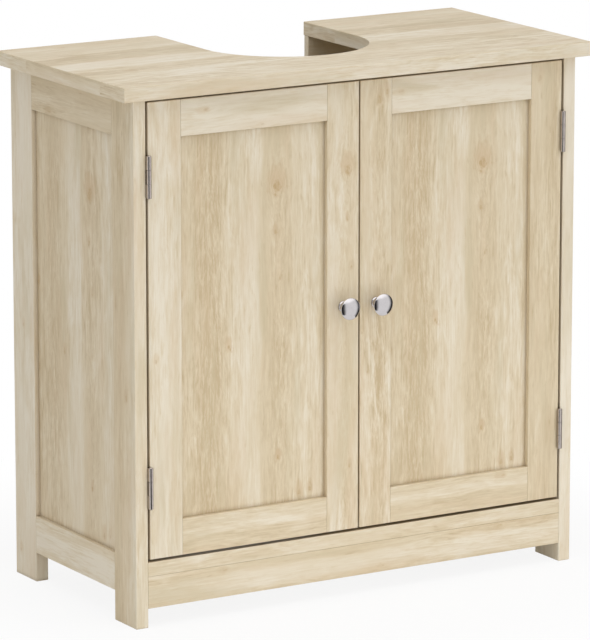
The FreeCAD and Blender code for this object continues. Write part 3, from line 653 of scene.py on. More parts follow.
def carcass_boards():
    """The print of each board of the carcass."""
    mirrored_panel = {
        name: mirrored(value) if isinstance(value, tuple) else value for name, value in PANEL.items()
    }
    boards = {
        "top_panel": board(
            "flat_across", 3, TOP_BANDS, strengths=TOP_PRINT,
            knots=((0.34, 0.89, 2.6, 0.8), (0.93, 0.88, 2.4, 0.6)),
        ),
        "bottom_panel": board("flat_across", 7, BOTTOM_BANDS),
        "shelf": board("flat_across", 11, TOP_BANDS),
        "front_apron": board(
            "front_across", 5, APRON_BANDS,
            knots=((0.85, 0.82, 2.2, 0.4), (0.88, 0.15, 2.4, 0.5), (0.20, 0.44, 1.5, 0.4)),
        ),
        "left_front_leg": board(
            "side_upright", 20, LEG_BANDS, knots=((0.4, 0.435, 2.6, 0.5),), **BESIDE_HINGE,
        ),
        "right_front_leg": board("side_upright", 21, PALE_BANDS, **BESIDE_HINGE),
        "left_back_leg": board(
            "side_upright", 24, PALE_BANDS, knots=((0.75, 0.05, 2.2, 0.5), (0.5, 0.5, 2.0, 0.5)),
        ),
        "right_back_leg": board("side_upright", 25, LIGHT_BANDS),
        "left_side_panel": board("side_upright", 2, **mirrored_panel),
        "right_side_panel": board("side_upright", 2, **PANEL),
    }
    for number, side in enumerate(SIDES):
        boards[side + "_upper_side_rail"] = board(
            "side_across", 30 + number, TAN_BANDS, knots=((0.1, 0.75, 2.2, 0.5),)
        )
        boards[side + "_lower_side_rail"] = board("side_across", 34 + number, LOW_SIDE_RAIL_BANDS)
        boards[side + "_back_panel"] = board("front_across", 40 + number, PLAIN_BANDS)
    return boards


def door_boards():
    """The print of each board of the doors."""
    boards = {
        "left_door_hinge_stile": board(
            "front_upright", 50, LIGHT_BANDS, knots=((0.2, 0.435, 2.0, 0.4),), **BESIDE_HINGE,
        ),
        "right_door_hinge_stile": board(
            "front_upright", 51, TAN_BANDS, knots=((0.3, 0.965, 3.0, 0.4),), **BESIDE_HINGE,
        ),
        "left_door_meeting_stile": board(
            "front_upright", 54, LEFT_STILE_BANDS, knots=LEFT_STILE_KNOTS, flames=((0.55, 18, 3.0, 0.7),),
            **MEETING_STILE,
        ),
        "right_door_meeting_stile": board(
            "front_upright", 55, PLAIN_BANDS, knots=RIGHT_STILE_KNOTS, flames=((0.6, 20, -3.5, 0.9),),
            **MEETING_STILE,
        ),
        "left_door_top_rail": board(
            "front_across", 60, TOP_RAIL_BANDS, **RAIL,
            knots=((0.65, 0.81, 2.4, 0.5), (0.1, 0.45, 1.8, 0.4)),
        ),
        "right_door_top_rail": board(
            "front_across", 61, TOP_RAIL_BANDS, knots=((0.6, 0.9, 2.6, 0.35),), **RAIL,
        ),
        "left_door_bottom_rail": board("front_across", 64, LEFT_LOW_RAIL_BANDS, **RAIL),
        "right_door_bottom_rail": board(
            "front_across", 65, RIGHT_LOW_RAIL_BANDS, knots=((0.87, 0.2, 2.2, 0.5),), **RAIL,
        ),
    }
    for side in SIDES:
        boards[side + "_door_panel"] = board("front_upright", 1, **PANEL)
    return boards


def finish_boards(boards):
    """Puts a wood finish of its own on each board."""
    for node, settings in boards.items():
        set_material(node, wood_material(node, **settings))


def set_material(node, material):
    """One material on all of a CAD part's slots."""
    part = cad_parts[node]
    if not part.material_slots:
        part.data.materials.append(material)
    for held in part.material_slots:
        held.material = material


class CABINET_OT_carcass_boards(bpy.types.Operator):
    """Finishes the top, legs, side rails, panels, apron, bottom, shelf and back panels"""
    bl_idname = "cabinet.carcass_boards"
    bl_label = "Carcass boards"

    def execute(self, context):
        finish_boards(carcass_boards())
        return {"FINISHED"}


class CABINET_OT_door_boards(bpy.types.Operator):
    """Finishes the doors' stiles, rails and panels"""
    bl_idname = "cabinet.door_boards"
    bl_label = "Door boards"

    def execute(self, context):
        finish_boards(door_boards())
        return {"FINISHED"}


# Metal, plastic and raw wood finishes

def build_handling_group():
    """Fine scratches and smudges shared by the fittings: a roughness, a mask and a height."""
    given, result = new_group(
        "handling",
        {"Vector": ORIGIN, "Low": 0.05, "High": 0.15, "Stretch": (1, 1, 1)},
        {"Roughness": "Float", "Smudge": "Float", "Height": "Float"},
    )
    smudge = noise(given["Vector"], "smudge")
    scratch = noise(vector_calculate("MULTIPLY", given["Vector"], given["Stretch"]), "scratch")
    mixed = plus(times(smudge, 1 - SCRATCH_SHARE), times(scratch, SCRATCH_SHARE))
    rough = times(remap(mixed, 0.35, 0.65), minus(given["High"], given["Low"]))
    feed_all(result, {
        "Roughness": plus(rough, given["Low"]), "Smudge": remap(smudge, 0.45, 0.7), "Height": scratch,
    })


SCRATCH_SHARE = 0.45
BRUSHED_UPRIGHT = (1, 1, 0.08)


def dulled(colour, mask, dull):
    """A colour that is a share darker where a mask says."""
    return blend_colours(mask, rgba(colour), rgba([part * (1 - dull) for part in colour]))


def metal_material(name, colour, low, high, stretch=(1, 1, 1), bump=0.05, dull=0.12):
    """A metal with a low and a high roughness, streaked by its brushing and lightly handled."""
    material, shader, place = new_material(name)
    wear = place_group("handling", {"Vector": place, "Low": low, "High": high, "Stretch": stretch})
    feed_all(shader, {
        "Base Color": dulled(colour, wear["Smudge"], dull), "Roughness": wear["Roughness"], "Metallic": 1,
        "Normal": relief(wear["Height"], bump, 0.1 * MM),
    })
    return material


def plastic_material(name, colour):
    """A moulded plastic with a fine spark texture."""
    material, shader, place = new_material(name)
    wear = place_group("handling", {"Vector": place, "Low": 0.38, "High": 0.55})
    feed_all(shader, {
        "Base Color": dulled(colour, wear["Smudge"], 0.07), "Roughness": wear["Roughness"],
        "Normal": relief(noise(place, "spark"), 0.3, 0.08 * MM),
    })
    return material


def raw_wood_material(name, colour):
    """Unfinished turned wood with fine fibres along X."""
    material, shader, place = new_material(name)
    fibres = noise(place, "raw fibre")
    feed_all(shader, {
        "Base Color": dulled(colour, remap(fibres, 0.7, 0.3), 0.3),
        "Roughness": remap(fibres, 0.3, 0.7, 0.85, 0.7), "Normal": relief(fibres, 0.4, 0.1 * MM),
    })
    return material


# Fitting shapes

def box_middle(node):
    """The middle of a CAD node's box."""
    low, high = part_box(node)
    return (low + high) / 2


def add_object(name, data):
    """A new object in the scene."""
    made = bpy.data.objects.new(name, data)
    bpy.context.scene.collection.objects.link(made)
    return made


def mesh_object(name, shape, material):
    """An object from a finished bmesh, with one material."""
    mesh = bpy.data.meshes.new(name)
    shape.to_mesh(mesh)
    shape.free()
    mesh.materials.append(material)
    return add_object(name, mesh)


def add_piece(name, shape, material, body, replaced, subdivisions=0, easing=0.0):
    """Makes a piece from a finished bmesh, puts it on its body and lets it stand for a CAD node."""
    bmesh.ops.recalc_face_normals(shape, faces=shape.faces)
    piece = mesh_object(name, shape, material)
    for face in piece.data.polygons:
        face.use_smooth = True
    if easing:
        bevel = piece.modifiers.new("eased edges", "BEVEL")
        bevel.width = easing * MM
        bevel.segments = 2
        bevel.limit_method = "ANGLE"
        bevel.angle_limit = math.radians(35)
        bevel.harden_normals = True
    if subdivisions:
        smoothing = piece.modifiers.new("smoothing", "SUBSURF")
        smoothing.levels = smoothing.render_levels = subdivisions
    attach(piece, body)
    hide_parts(replaced)


def turned_shape(profile, steps=32):
    """A turned solid from (radius, height) points in millimetres, standing on the origin along Z."""
    shape = bmesh.new()
    verts = [shape.verts.new((radius * MM, 0, height * MM)) for radius, height in profile]
    edges = [shape.edges.new(pair) for pair in zip(verts, verts[1:])]
    bmesh.ops.spin(
        shape, geom=verts + edges, cent=ORIGIN, axis=UP, dvec=ORIGIN, angle=math.tau,
        steps=steps, use_merge=True, use_duplicate=False,
    )
    bmesh.ops.remove_doubles(shape, verts=shape.verts, dist=0.001 * MM)
    return shape


def place_shape(shape, place, direction):
    """Turns a shape's Z axis to a direction and moves its origin to a place."""
    turn = UP.rotation_difference(direction).to_matrix().to_4x4()
    bmesh.ops.transform(shape, matrix=Matrix.Translation(place) @ turn, verts=shape.verts)
    return shape


def only(kind, items):
    """The items of one kind."""
    return [item for item in items if isinstance(item, kind)]


def hole_ring(shape, centre, radius):
    """The edges of a new circle round a centre, with its radius in millimetres."""
    verts = bmesh.ops.create_circle(
        shape, cap_ends=False, segments=24, radius=radius * MM, matrix=Matrix.Translation(centre)
    )["verts"]
    return list({edge for vert in verts for edge in vert.link_edges})


def faces_where(shape, fits):
    """The faces whose normal and middle, in millimetres, fit."""
    return [face for face in shape.faces if fits(face.normal, face.calc_center_median() / MM)]


def edges_where(shape, fits):
    """The edges whose two ends, in millimetres, fit."""
    return [edge for edge in shape.edges if fits(*(vert.co / MM for vert in edge.verts))]


def round_corners(shape, corners, radius):
    """Rounds the corner edges of a plate."""
    bmesh.ops.bevel(
        shape, geom=corners, offset=radius * MM, segments=4, profile=0.5, affect="EDGES", material=-1
    )


def pierced_plate(outline, holes, thickness):
    """A flat plate from an outline in millimetres, with countersunk holes at the points given."""
    shape = bmesh.new()
    corners = [shape.verts.new((x * MM, y * MM, 0)) for x, y in outline]
    edges = [shape.edges.new(pair) for pair in zip(corners, corners[1:] + corners[:1])]
    for x, y in holes:
        edges += hole_ring(shape, (x * MM, y * MM, 0), PLATE_HOLE)
    filled = bmesh.ops.triangle_fill(shape, use_beauty=True, edges=edges)["geom"]
    faces = only(bmesh.types.BMFace, filled)
    raised = bmesh.ops.extrude_face_region(shape, geom=faces, use_keep_orig=True)["geom"]
    top = only(bmesh.types.BMVert, raised)
    bmesh.ops.translate(shape, verts=top, vec=(0, 0, thickness * MM))
    wider = COUNTERSINK / PLATE_HOLE
    for x, y in holes:
        centre = Vector((x, y, thickness)) * MM
        rim = [vert for vert in top if (vert.co - centre).length < PLATE_HOLE * MM * 1.05]
        bmesh.ops.scale(shape, verts=rim, vec=(wider, wider, 1), space=Matrix.Translation(-centre))
    return shape


# Radii of the screw holes in plates and of every countersink, in millimetres
PLATE_HOLE = 1.7
COUNTERSINK = 2.7


def knob_profile():
    """The knob's half section: thread bore, base, waist, rim and dome."""
    points = [(0, 9), (1.8, 9), (2.15, 8.9), (2.15, 8.5), (2.15, 0.4), (2.2, 0.02), (2.7, 0)]
    points += [(5.6, 0), (5.95, 0.05), (6.0, 0.35), (6.0, 0.9), (5.85, 1.2), (5.4, 1.45)]
    points += [(4.85, 2.3), (4.6, 3.8), (4.6, 6.2), (4.95, 8.9), (5.8, 11.3), (7.2, 13.2)]
    points += [(9.2, 14.5), (11.1, 15.4), (12.1, 15.8), (12.45, 16.3), (12.4, 16.9)]
    dome_radius = (KNOB_RIM ** 2 + KNOB_DOME ** 2) / (2 * KNOB_DOME)
    for degrees in (34, 30, 25, 19, 13, 7.5, 2.5):
        slope = math.radians(degrees)
        points.append((dome_radius * math.sin(slope), KNOB_REACH - dome_radius * (1 - math.cos(slope))))
    return points + [(0, KNOB_REACH)]


# The knob's whole height, and the radius and height of its dome, in millimetres
KNOB_REACH = 21.0
KNOB_RIM = 12.4
KNOB_DOME = 4.0

# Hinge sizes in millimetres, measured from the pin's axis
LEAF_BACK = 16.5
LEAF_FRONT = 3.05
LEAF_THICKNESS = 1.2
LEAF_CORNER = 1.8
HINGE_HEIGHT = 46.0
KNUCKLE_GAP = 0.3
KNUCKLE_INSIDE = 1.55
SCREW_BACK = 10.5
SCREW_RISE = 13.0
FRAME_LEAF_START = 1.3
DOOR_LEAF_START = -0.5
NECK_RADIUS = 0.5
CLOSE = 0.01


def leaf_outline(tab_front, spans):
    """A hinge leaf laid flat: straight at the back, with a tab for each knuckle in front."""
    points = [(LEAF_BACK, 0), (LEAF_BACK, HINGE_HEIGHT), (LEAF_FRONT, HINGE_HEIGHT)]
    for low, high in reversed(spans):
        points += [(LEAF_FRONT, high), (tab_front, high), (tab_front, low), (LEAF_FRONT, low)]
    points.append((LEAF_FRONT, 0))
    return [point for index, point in enumerate(points) if point != points[index - 1]]


def knuckle_spans():
    """The low and high ends of the three knuckles."""
    pitch = (HINGE_HEIGHT + KNUCKLE_GAP) / 3
    return [(index * pitch, (index + 1) * pitch - KNUCKLE_GAP) for index in range(3)]


def leaf_shape(start, tab_front, spans, open_side):
    """A leaf on the right side of its pin, standing on the origin, with flat tabs still to be rolled."""
    holes = [(SCREW_BACK, HINGE_HEIGHT / 2 + rise) for rise in (-SCREW_RISE, SCREW_RISE)]
    shape = pierced_plate(leaf_outline(tab_front, spans), holes, LEAF_THICKNESS)
    # The plate's X runs back from the pin, its Y up and its thickness to the open side
    low = start if open_side > 0 else start + LEAF_THICKNESS
    rows = ((0, 0, open_side, low * MM), (1, 0, 0, 0), (0, 1, 0, 0), (0, 0, 0, 1))
    bmesh.ops.transform(shape, matrix=Matrix(rows), verts=shape.verts)
    corners = edges_where(shape, lambda first, second: (
        min(first.y, second.y) > LEAF_BACK - CLOSE and abs(first.x - second.x) > LEAF_THICKNESS / 2
        and abs(first.z - second.z) < CLOSE
    ))
    round_corners(shape, corners, LEAF_CORNER)
    return shape


def tab_ends(shape, tab_front):
    """The small end faces of the tabs."""
    return [
        face for face in shape.faces if all(abs(vert.co.y / MM - tab_front) < CLOSE for vert in face.verts)
    ]


def roll(shape, faces, centre, turn, steps):
    """Spins end faces round a centre beside the pin, and returns the new end faces."""
    ends = []
    for face in faces:
        made = bmesh.ops.spin(
            shape, geom=[face], cent=(centre[0] * MM, centre[1] * MM, 0), axis=UP, dvec=ORIGIN,
            angle=turn, steps=steps, use_merge=False, use_duplicate=False,
        )["geom_last"]
        ends += only(bmesh.types.BMFace, made)
    bmesh.ops.delete(shape, geom=faces, context="FACES")
    return ends


def frame_leaf_shape():
    """The leaf on the leg: its outer side runs straight into the two knuckles that it is rolled into."""
    low, _, high = knuckle_spans()
    shape = leaf_shape(FRAME_LEAF_START, 0, (low, high), -1)
    ends = tab_ends(shape, 0)
    corners = list({vert for face in ends for vert in face.verts})
    bmesh.ops.translate(shape, verts=corners, vec=((KNUCKLE_INSIDE - FRAME_LEAF_START) * MM, 0, 0))
    roll(shape, ends, (0, 0), math.radians(-290), 22)
    return shape


def door_leaf_shape():
    """The leaf on the door: a short neck carries its plate round to the middle knuckle."""
    across = DOOR_LEAF_START - NECK_RADIUS
    outside = KNUCKLE_INSIDE + LEAF_THICKNESS + NECK_RADIUS
    back = math.sqrt(outside ** 2 - across ** 2)
    shape = leaf_shape(DOOR_LEAF_START, back, (knuckle_spans()[1],), 1)
    neck = roll(shape, tab_ends(shape, back), (across, back), -math.acos(-across / outside), 5)
    roll(shape, neck, (0, 0), math.radians(305), 24)
    return shape


def pin_profile():
    """The hinge pin with a low domed head at each end."""
    head = ((0, -0.75), (1.2, -0.7), (1.9, -0.42), (2.2, -0.05), (2.15, 0), (1.2, 0))
    return [*head, *((radius, HINGE_HEIGHT - height) for radius, height in reversed(head))]


def add_hinge(name, side, nickel):
    """Makes a hinge's two leaves, mirrored for the left side, and its pin."""
    middle = box_middle(name + "pin")
    axis = Vector((middle.x, middle.y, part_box(name + "frame_leaf")[0].z))
    hand = -1 if side == "left" else 1
    leaves = (("frame", frame_leaf_shape(), "carcass"), ("door", door_leaf_shape(), side + "_door"))
    for leaf, shape, body in leaves:
        bmesh.ops.scale(shape, verts=shape.verts, vec=(hand, 1, 1))
        bmesh.ops.translate(shape, verts=shape.verts, vec=axis)
        replaced = name + leaf + "_leaf"
        add_piece(name + leaf + "_wing", shape, nickel, body, replaced, easing=0.12)
    pin = place_shape(turned_shape(pin_profile(), 24), axis, UP)
    add_piece(name + "rivet", pin, nickel, "carcass", name + "pin", easing=0.1)


# Catch sizes in millimetres, from the middle of the top of the face with the magnet: the body, its pocket,
# its ears and the screw holes in them
CATCH_WIDTH, CATCH_DEPTH, CATCH_HEIGHT = 20, 15, 16
POCKET_SIDE, POCKET_ROOF, POCKET_FLOOR, POCKET_DEPTH = 8.1, -6.4, -13.6, 11.1
EAR_THICKNESS, EAR_DEPTH, EAR_REACH = 2.5, 9, 7
EAR_HOLE_ASIDE, EAR_HOLE_BACK, EAR_HOLE, EAR_HOLE_TOP = 13.4, 4.5, 1.5, -1.3


def catch_shape():
    """A catch's body with an ear each side and an open pocket for its magnet, under the origin."""
    shape = bmesh.new()
    middle = Matrix.Translation(Vector((0, CATCH_DEPTH / 2, -CATCH_HEIGHT / 2)) * MM)
    block = Matrix.Diagonal((CATCH_WIDTH * MM, CATCH_DEPTH * MM, CATCH_HEIGHT * MM, 1))
    bmesh.ops.create_cube(shape, size=1, matrix=middle @ block)
    cuts = [(ACROSS, -POCKET_SIDE), (ACROSS, POCKET_SIDE), (UP, POCKET_FLOOR), (UP, POCKET_ROOF)]
    for normal, reach in cuts + [(UP, -EAR_THICKNESS), (DEEP, EAR_DEPTH)]:
        bmesh.ops.bisect_plane(
            shape, geom=shape.verts[:] + shape.edges[:] + shape.faces[:],
            plane_co=normal * reach * MM, plane_no=normal, dist=0.001 * MM,
        )
    mouth = faces_where(shape, lambda normal, spot: (
        normal.y < -0.9 and abs(spot.x) < POCKET_SIDE and POCKET_FLOOR < spot.z < POCKET_ROOF
    ))
    push_faces(shape, mouth, (0, POCKET_DEPTH * MM, 0))
    for sign in (-1, 1):
        ear = faces_where(shape, lambda normal, spot: (
            normal.x * sign > 0.9 and abs(spot.x) > CATCH_WIDTH / 2 - 0.1
            and spot.z > -EAR_THICKNESS and spot.y < EAR_DEPTH
        ))
        push_faces(shape, ear, (sign * EAR_REACH * MM, 0, 0))
        pierce_ear(shape, Vector((sign * EAR_HOLE_ASIDE, EAR_HOLE_BACK, 0)))
    return shape


def push_faces(shape, faces, step):
    """Extrudes faces and moves the new ones."""
    made = bmesh.ops.extrude_face_region(shape, geom=faces)["geom"]
    bmesh.ops.translate(shape, verts=only(bmesh.types.BMVert, made), vec=step)
    bmesh.ops.delete(shape, geom=faces, context="FACES")


def pierce_ear(shape, centre):
    """A countersunk screw hole through one of a catch's ears."""
    under = -EAR_THICKNESS
    sections = ((under, COUNTERSINK), (EAR_HOLE_TOP, EAR_HOLE), (0, EAR_HOLE))
    rings = [hole_ring(shape, (centre + UP * height) * MM, radius) for height, radius in sections]
    for height, ring in ((under, rings[0]), (0, rings[2])):
        face = faces_where(shape, lambda normal, spot: (
            abs(spot.z - height) < CLOSE and (spot.xy - centre.xy).length < 1
        ))[0]
        outline = face.edges[:]
        bmesh.ops.delete(shape, geom=[face], context="FACES_ONLY")
        bmesh.ops.triangle_fill(shape, use_beauty=True, edges=outline + ring)
    for first, second in zip(rings, rings[1:]):
        bmesh.ops.bridge_loops(shape, edges=first + second)


# Half the width and half the height of a strike plate, its thickness and the radius of its corners
STRIKE_SIDE, STRIKE_RISE, STRIKE_THICKNESS, STRIKE_CORNER = 13, 5.5, 1.2, 1.5


def strike_shape():
    """A flat strike plate with rounded corners and one screw hole."""
    sides = ((-1, -1), (1, -1), (1, 1), (-1, 1))
    outline = [(x * STRIKE_SIDE, y * STRIKE_RISE) for x, y in sides]
    shape = pierced_plate(outline, [(0, 0)], STRIKE_THICKNESS)
    corners = edges_where(shape, lambda first, second: (
        abs(first.x) > STRIKE_SIDE - CLOSE and abs(first.z - second.z) > STRIKE_THICKNESS / 2
    ))
    round_corners(shape, corners, STRIKE_CORNER)
    return shape


class CABINET_OT_fixings(bpy.types.Operator):
    """Finishes the screws, bolts, magnets, cam locks, shelf pins and dowels"""
    bl_idname = "cabinet.fixings"
    bl_label = "Fixings"

    def execute(self, context):
        metal = context.scene.cabinet_metal
        zinc = metal_material("bright_zinc", metal.zinc, 0.22, 0.40, bump=0.1)
        casting = metal_material("zinc_casting", metal.casting, 0.45, 0.62, bump=0.3)
        magnet = metal_material("plated_magnet", metal.magnet, 0.35, 0.5)
        beech = raw_wood_material("raw_beech", metal.beech)
        for node in ("back_panel_screws", "hinge_frame_screws", "catch_screws", "cam_bolts", "shelf_pins"):
            set_material(node, zinc)
        for side in SIDES:
            set_material(side + "_door_screws", zinc)
            set_material(side + "_knob_screw", zinc)
        set_material("cam_locks", casting)
        set_material("catch_magnets", magnet)
        set_material("dowels", beech)
        return {"FINISHED"}


class CABINET_OT_knobs(bpy.types.Operator):
    """Makes the two turned knobs"""
    bl_idname = "cabinet.knobs"
    bl_label = "Knobs"

    def execute(self, context):
        chrome = context.scene.cabinet_metal.chrome
        plate = metal_material("polished_chrome", chrome, 0.07, 0.14, bump=0.02, dull=0.04)
        for side in SIDES:
            knob = side + "_knob"
            foot = box_middle(knob)
            foot.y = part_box(knob)[1].y
            shape = place_shape(turned_shape(knob_profile()), foot, -DEEP)
            add_piece(side + "_pull_knob", shape, plate, side + "_door", knob, subdivisions=2)
        return {"FINISHED"}


class CABINET_OT_hinges(bpy.types.Operator):
    """Makes the hinges' rolled leaves and their pins"""
    bl_idname = "cabinet.hinges"
    bl_label = "Hinges"

    def execute(self, context):
        colour = context.scene.cabinet_metal.nickel
        nickel = metal_material("satin_nickel", colour, 0.14, 0.26, stretch=BRUSHED_UPRIGHT, bump=0.12)
        for side in SIDES:
            for level in LEVELS:
                add_hinge(side + "_" + level + "_hinge_", side, nickel)
        return {"FINISHED"}


class CABINET_OT_catches(bpy.types.Operator):
    """Makes the magnetic catches' bodies and their strike plates"""
    bl_idname = "cabinet.catches"
    bl_label = "Catches"

    def execute(self, context):
        plastic = plastic_material("moulded_plastic", context.scene.cabinet_metal.plastic)
        zinc = bpy.data.materials["bright_zinc"]
        for side in SIDES:
            body, plate = side + "_catch_body", side + "_strike_plate"
            low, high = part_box(body)
            shape = catch_shape()
            bmesh.ops.translate(shape, verts=shape.verts, vec=(box_middle(body).x, low.y, high.z))
            add_piece(side + "_catch_housing", shape, plastic, "carcass", body, easing=0.5)
            face = box_middle(plate)
            face.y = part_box(plate)[0].y
            shape = place_shape(strike_shape(), face, DEEP)
            add_piece(side + "_strike", shape, zinc, side + "_door", plate, easing=0.2)
        return {"FINISHED"}


# Stage

def aim(obj, place, target):
    """Puts an object somewhere and turns its -Z axis to a target."""
    obj.location = place
    obj.rotation_euler = (Vector(target) - Vector(place)).to_track_quat("-Z", "Y").to_euler()


def hide_from(obj, *rays):
    """Makes an object unseen by some kinds of rays."""
    for ray in rays:
        setattr(obj, "visible_" + ray, False)


def make_camera(studio):
    """The camera at the photographed angle."""
    data = bpy.data.cameras.new("camera")
    data.lens = studio.lens
    data.sensor_width = 36
    data.clip_end = 100
    camera = add_object("camera", data)
    turn, tilt = studio.camera_turn, studio.camera_tilt
    ahead = Vector((math.sin(turn) * math.cos(tilt), math.cos(turn) * math.cos(tilt), -math.sin(tilt)))
    place = Vector(studio.camera_place)
    aim(camera, place, place + ahead)
    bpy.context.scene.camera = camera


def white_to_sight(lit, share, white_kind):
    """A shader that lights as before, while sight, gloss and glass see a share of plain white instead."""
    tree = tree_of(lit)
    path = add_node(tree, "ShaderNodeLightPath").outputs
    seen = larger(larger(path["Is Camera Ray"], path["Is Glossy Ray"]), path["Is Transmission Ray"])
    white = add_node(tree, white_kind, {"Color": WHITE, "Strength": 1}).outputs[0]
    return add_node(tree, "ShaderNodeMixShader", {0: times(seen, share), 1: lit, 2: white}).outputs["Shader"]


def make_world(studio):
    """Even light all round, seen as white."""
    world = bpy.data.worlds.new("surroundings")
    bpy.context.scene.world = world
    tree = emptied_tree(world)
    light = add_node(tree, "ShaderNodeBackground", {"Color": WHITE, "Strength": studio.ambient}).outputs[0]
    add_node(tree, "ShaderNodeOutputWorld", {"Surface": white_to_sight(light, 1, "ShaderNodeBackground")})


# The floor keeps a part of its shadow within the near distance, where this share of it is plain white, and
# is all white from the far one
SHADOW_NEAR = 0.30
SHADOW_FAR = 0.62
WHITE_NEAR = 0.88


def make_floor(studio):
    """A round white floor that keeps the cabinet's soft shadow."""
    material = bpy.data.materials.new("floor_white")
    tree = emptied_tree(material)
    paint = {"Base Color": rgba(0.9), "Roughness": 0.9, "Specular IOR Level": 0}
    painted = add_node(tree, "ShaderNodeBsdfPrincipled", paint).outputs["BSDF"]
    place = object_place(tree)
    away = add_node(tree, "ShaderNodeVectorMath", {0: place}, operation="LENGTH").outputs["Value"]
    share = remap(away, SHADOW_NEAR, SHADOW_FAR, WHITE_NEAR, 1.0, smooth=True)
    surface = white_to_sight(painted, share, "ShaderNodeEmission")
    add_node(tree, "ShaderNodeOutputMaterial", {"Surface": surface})
    shape = bmesh.new()
    bmesh.ops.create_circle(shape, cap_ends=True, segments=96, radius=studio.floor_radius)
    mesh_object("floor", shape, material)


# The cards that the knobs mirror stand round a point between the knobs. The side cards' columns are (turn to
# the left in degrees, brightness). The high card's rows are (rise in degrees, brightness above white), and
# its ends fade out by (turn to the left in degrees, share of that brightness).
KNOB_PLACE = Vector((0, -0.15, 0.33))
CARD_NEAR = 0.35
CARD_FAR = 1.9
CARD_FOOT = 0.002
CARD_HEIGHT = 3.2
HIGH_REACH = 1.6
SIDE_CARDS = {
    "left_card": (
        (62, 0.01), (38, 0.01), (30, 0.03), (25, 0.10), (20.5, 0.30), (16, 0.62), (11, 0.88), (7, 1),
    ),
    "right_card": ((-100, 0.01), (-85, 0.02), (-78, 0.12), (-70, 0.55), (-62, 0.90), (-56, 1)),
}
HIGH_CARD = ((24, 0), (34, 0.5), (46, 0.6), (74, 0.6))
HIGH_FADE = ((44, 0), (28, 1), (-14, 1), (-56, 0.9), (-76, 0))


def make_cards():
    """Dark cards at each side, with a foot on the floor, and a bright one above, for shiny metal alone."""
    material = bpy.data.materials.new("card_fading")
    tree = emptied_tree(material)
    shade = add_node(tree, "ShaderNodeAttribute", attribute_name="shade").outputs["Fac"]
    glow = add_node(tree, "ShaderNodeEmission", {"Color": WHITE, "Strength": shade}).outputs["Emission"]
    add_node(tree, "ShaderNodeOutputMaterial", {"Surface": glow})
    cards = {name: [upright_strip(*column) for column in columns] for name, columns in SIDE_CARDS.items()}
    cards["high_card"] = [high_strip(*row) for row in HIGH_CARD]
    for name, strips in cards.items():
        card = mesh_object(name, card_shape(strips), material)
        hide_from(card, "camera", "diffuse", "shadow", "transmission")


def card_shape(strips):
    """A sheet through strips of (point, brightness)."""
    shape = bmesh.new()
    layer = shape.verts.layers.float.new("shade")
    rows = []
    for strip in strips:
        row = [shape.verts.new(place) for place, _ in strip]
        for vert, (_, light) in zip(row, strip):
            vert[layer] = light
        rows.append([shape.edges.new(pair) for pair in zip(row, row[1:])])
    for first, second in zip(rows, rows[1:]):
        bmesh.ops.bridge_loops(shape, edges=first + second)
    return shape


def round_knobs(azimuth, rise, reach):
    """A point at a distance from the knobs, turned to the left of straight ahead and raised, in degrees."""
    turn, lift = math.radians(azimuth), math.radians(rise)
    flat = reach * math.cos(lift)
    return KNOB_PLACE + Vector((-flat * math.sin(turn), -flat * math.cos(turn), reach * math.sin(lift)))


def upright_strip(azimuth, light):
    """One column of a side card: along the floor and then up."""
    near, far, top = (round_knobs(azimuth, 0, reach) for reach in (CARD_NEAR, CARD_FAR, CARD_FAR))
    near.z = far.z = CARD_FOOT
    top.z = CARD_HEIGHT
    return [(near, light), (far, light), (top, light)]


def high_strip(rise, light):
    """One row of the high card, which fades out at both ends."""
    return [(round_knobs(azimuth, rise, HIGH_REACH), 1 + light * share) for azimuth, share in HIGH_FADE]


# Soft lamps: place, target, width and height, power, and the rays that don't see them
MIDDLE = (0, 0, 0.3)
LAMPS = {
    "key_lamp": ((1.2, -3.6, 1.2), MIDDLE, (2.2, 2.2), 17.1, ("glossy",)),
    "side_lamp": ((-3.4, -1.2, 0.9), MIDDLE, (2.0, 1.7), 4.4, ("glossy",)),
    "fill_lamp": ((0, -0.65, 0.07), (0, 0, 0.07), (2.4, 0.12), 1.2, ("glossy", "camera")),
    "overhead_lamp": ((-0.2, -0.85, 2.8), MIDDLE, (3.2, 1.6), 26, ()),
}


def make_lamps():
    """Soft lamps in front, on the left and overhead, and a weak one low in front for the lower half."""
    for name, (place, target, size, power, unseen_by) in LAMPS.items():
        data = bpy.data.lights.new(name, "AREA")
        data.shape = "RECTANGLE"
        data.size, data.size_y = size
        data.energy = power
        lamp = add_object(name, data)
        aim(lamp, place, target)
        hide_from(lamp, *unseen_by)


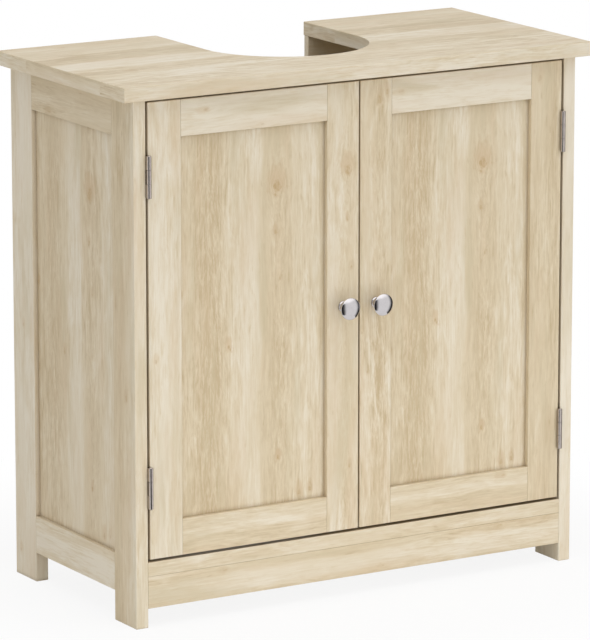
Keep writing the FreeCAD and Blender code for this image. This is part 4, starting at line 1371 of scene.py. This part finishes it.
class CABINET_OT_stage(bpy.types.Operator):
    """Makes the camera, the even white surroundings, the floor, the cards and the lamps"""
    bl_idname = "cabinet.stage"
    bl_label = "Stage"

    def execute(self, context):
        studio = context.scene.cabinet_studio
        make_camera(studio)
        make_world(studio)
        make_floor(studio)
        make_cards()
        make_lamps()
        context.scene.view_settings.view_transform = "Standard"
        return {"FINISHED"}


OPERATORS = (
    CABINET_OT_carcass_boards, CABINET_OT_door_boards, CABINET_OT_fixings, CABINET_OT_knobs,
    CABINET_OT_hinges, CABINET_OT_catches, CABINET_OT_stage,
)


class CABINET_PT_panel(bpy.types.Panel):
    """Lists the cabinet's settings and operators"""
    bl_idname = "CABINET_PT_panel"
    bl_label = "Under-sink cabinet"
    bl_space_type = "VIEW_3D"
    bl_region_type = "UI"
    bl_category = "Cabinet"

    def draw(self, context):
        scene = context.scene
        for settings in (scene.cabinet_wood, scene.cabinet_metal, scene.cabinet_studio):
            box = self.layout.box()
            for name in settings.__annotations__:
                box.prop(settings, name)
        for operator in OPERATORS:
            self.layout.operator(operator.bl_idname)


CLASSES = (CabinetWoodSettings, CabinetMetalSettings, CabinetStudioSettings, *OPERATORS, CABINET_PT_panel)


def register():
    """Adds the classes and the scene's settings."""
    for item in CLASSES:
        bpy.utils.register_class(item)
    bpy.types.Scene.cabinet_wood = bpy.props.PointerProperty(type=CabinetWoodSettings)
    bpy.types.Scene.cabinet_metal = bpy.props.PointerProperty(type=CabinetMetalSettings)
    bpy.types.Scene.cabinet_studio = bpy.props.PointerProperty(type=CabinetStudioSettings)


def unregister():
    """Takes the settings and the classes away again."""
    del bpy.types.Scene.cabinet_studio
    del bpy.types.Scene.cabinet_metal
    del bpy.types.Scene.cabinet_wood
    for item in reversed(CLASSES):
        bpy.utils.unregister_class(item)


def main():
    """Makes everything in order."""
    register()
    build_knot_group()
    build_flame_group()
    build_print_group(bpy.context.scene.cabinet_wood)
    build_share_group()
    build_corner_shading_group()
    build_edging_group()
    build_handling_group()
    bpy.ops.cabinet.carcass_boards()
    bpy.ops.cabinet.door_boards()
    bpy.ops.cabinet.fixings()
    bpy.ops.cabinet.knobs()
    bpy.ops.cabinet.hinges()
    bpy.ops.cabinet.catches()
    bpy.ops.cabinet.stage()


if __name__ == "__main__":
    main()
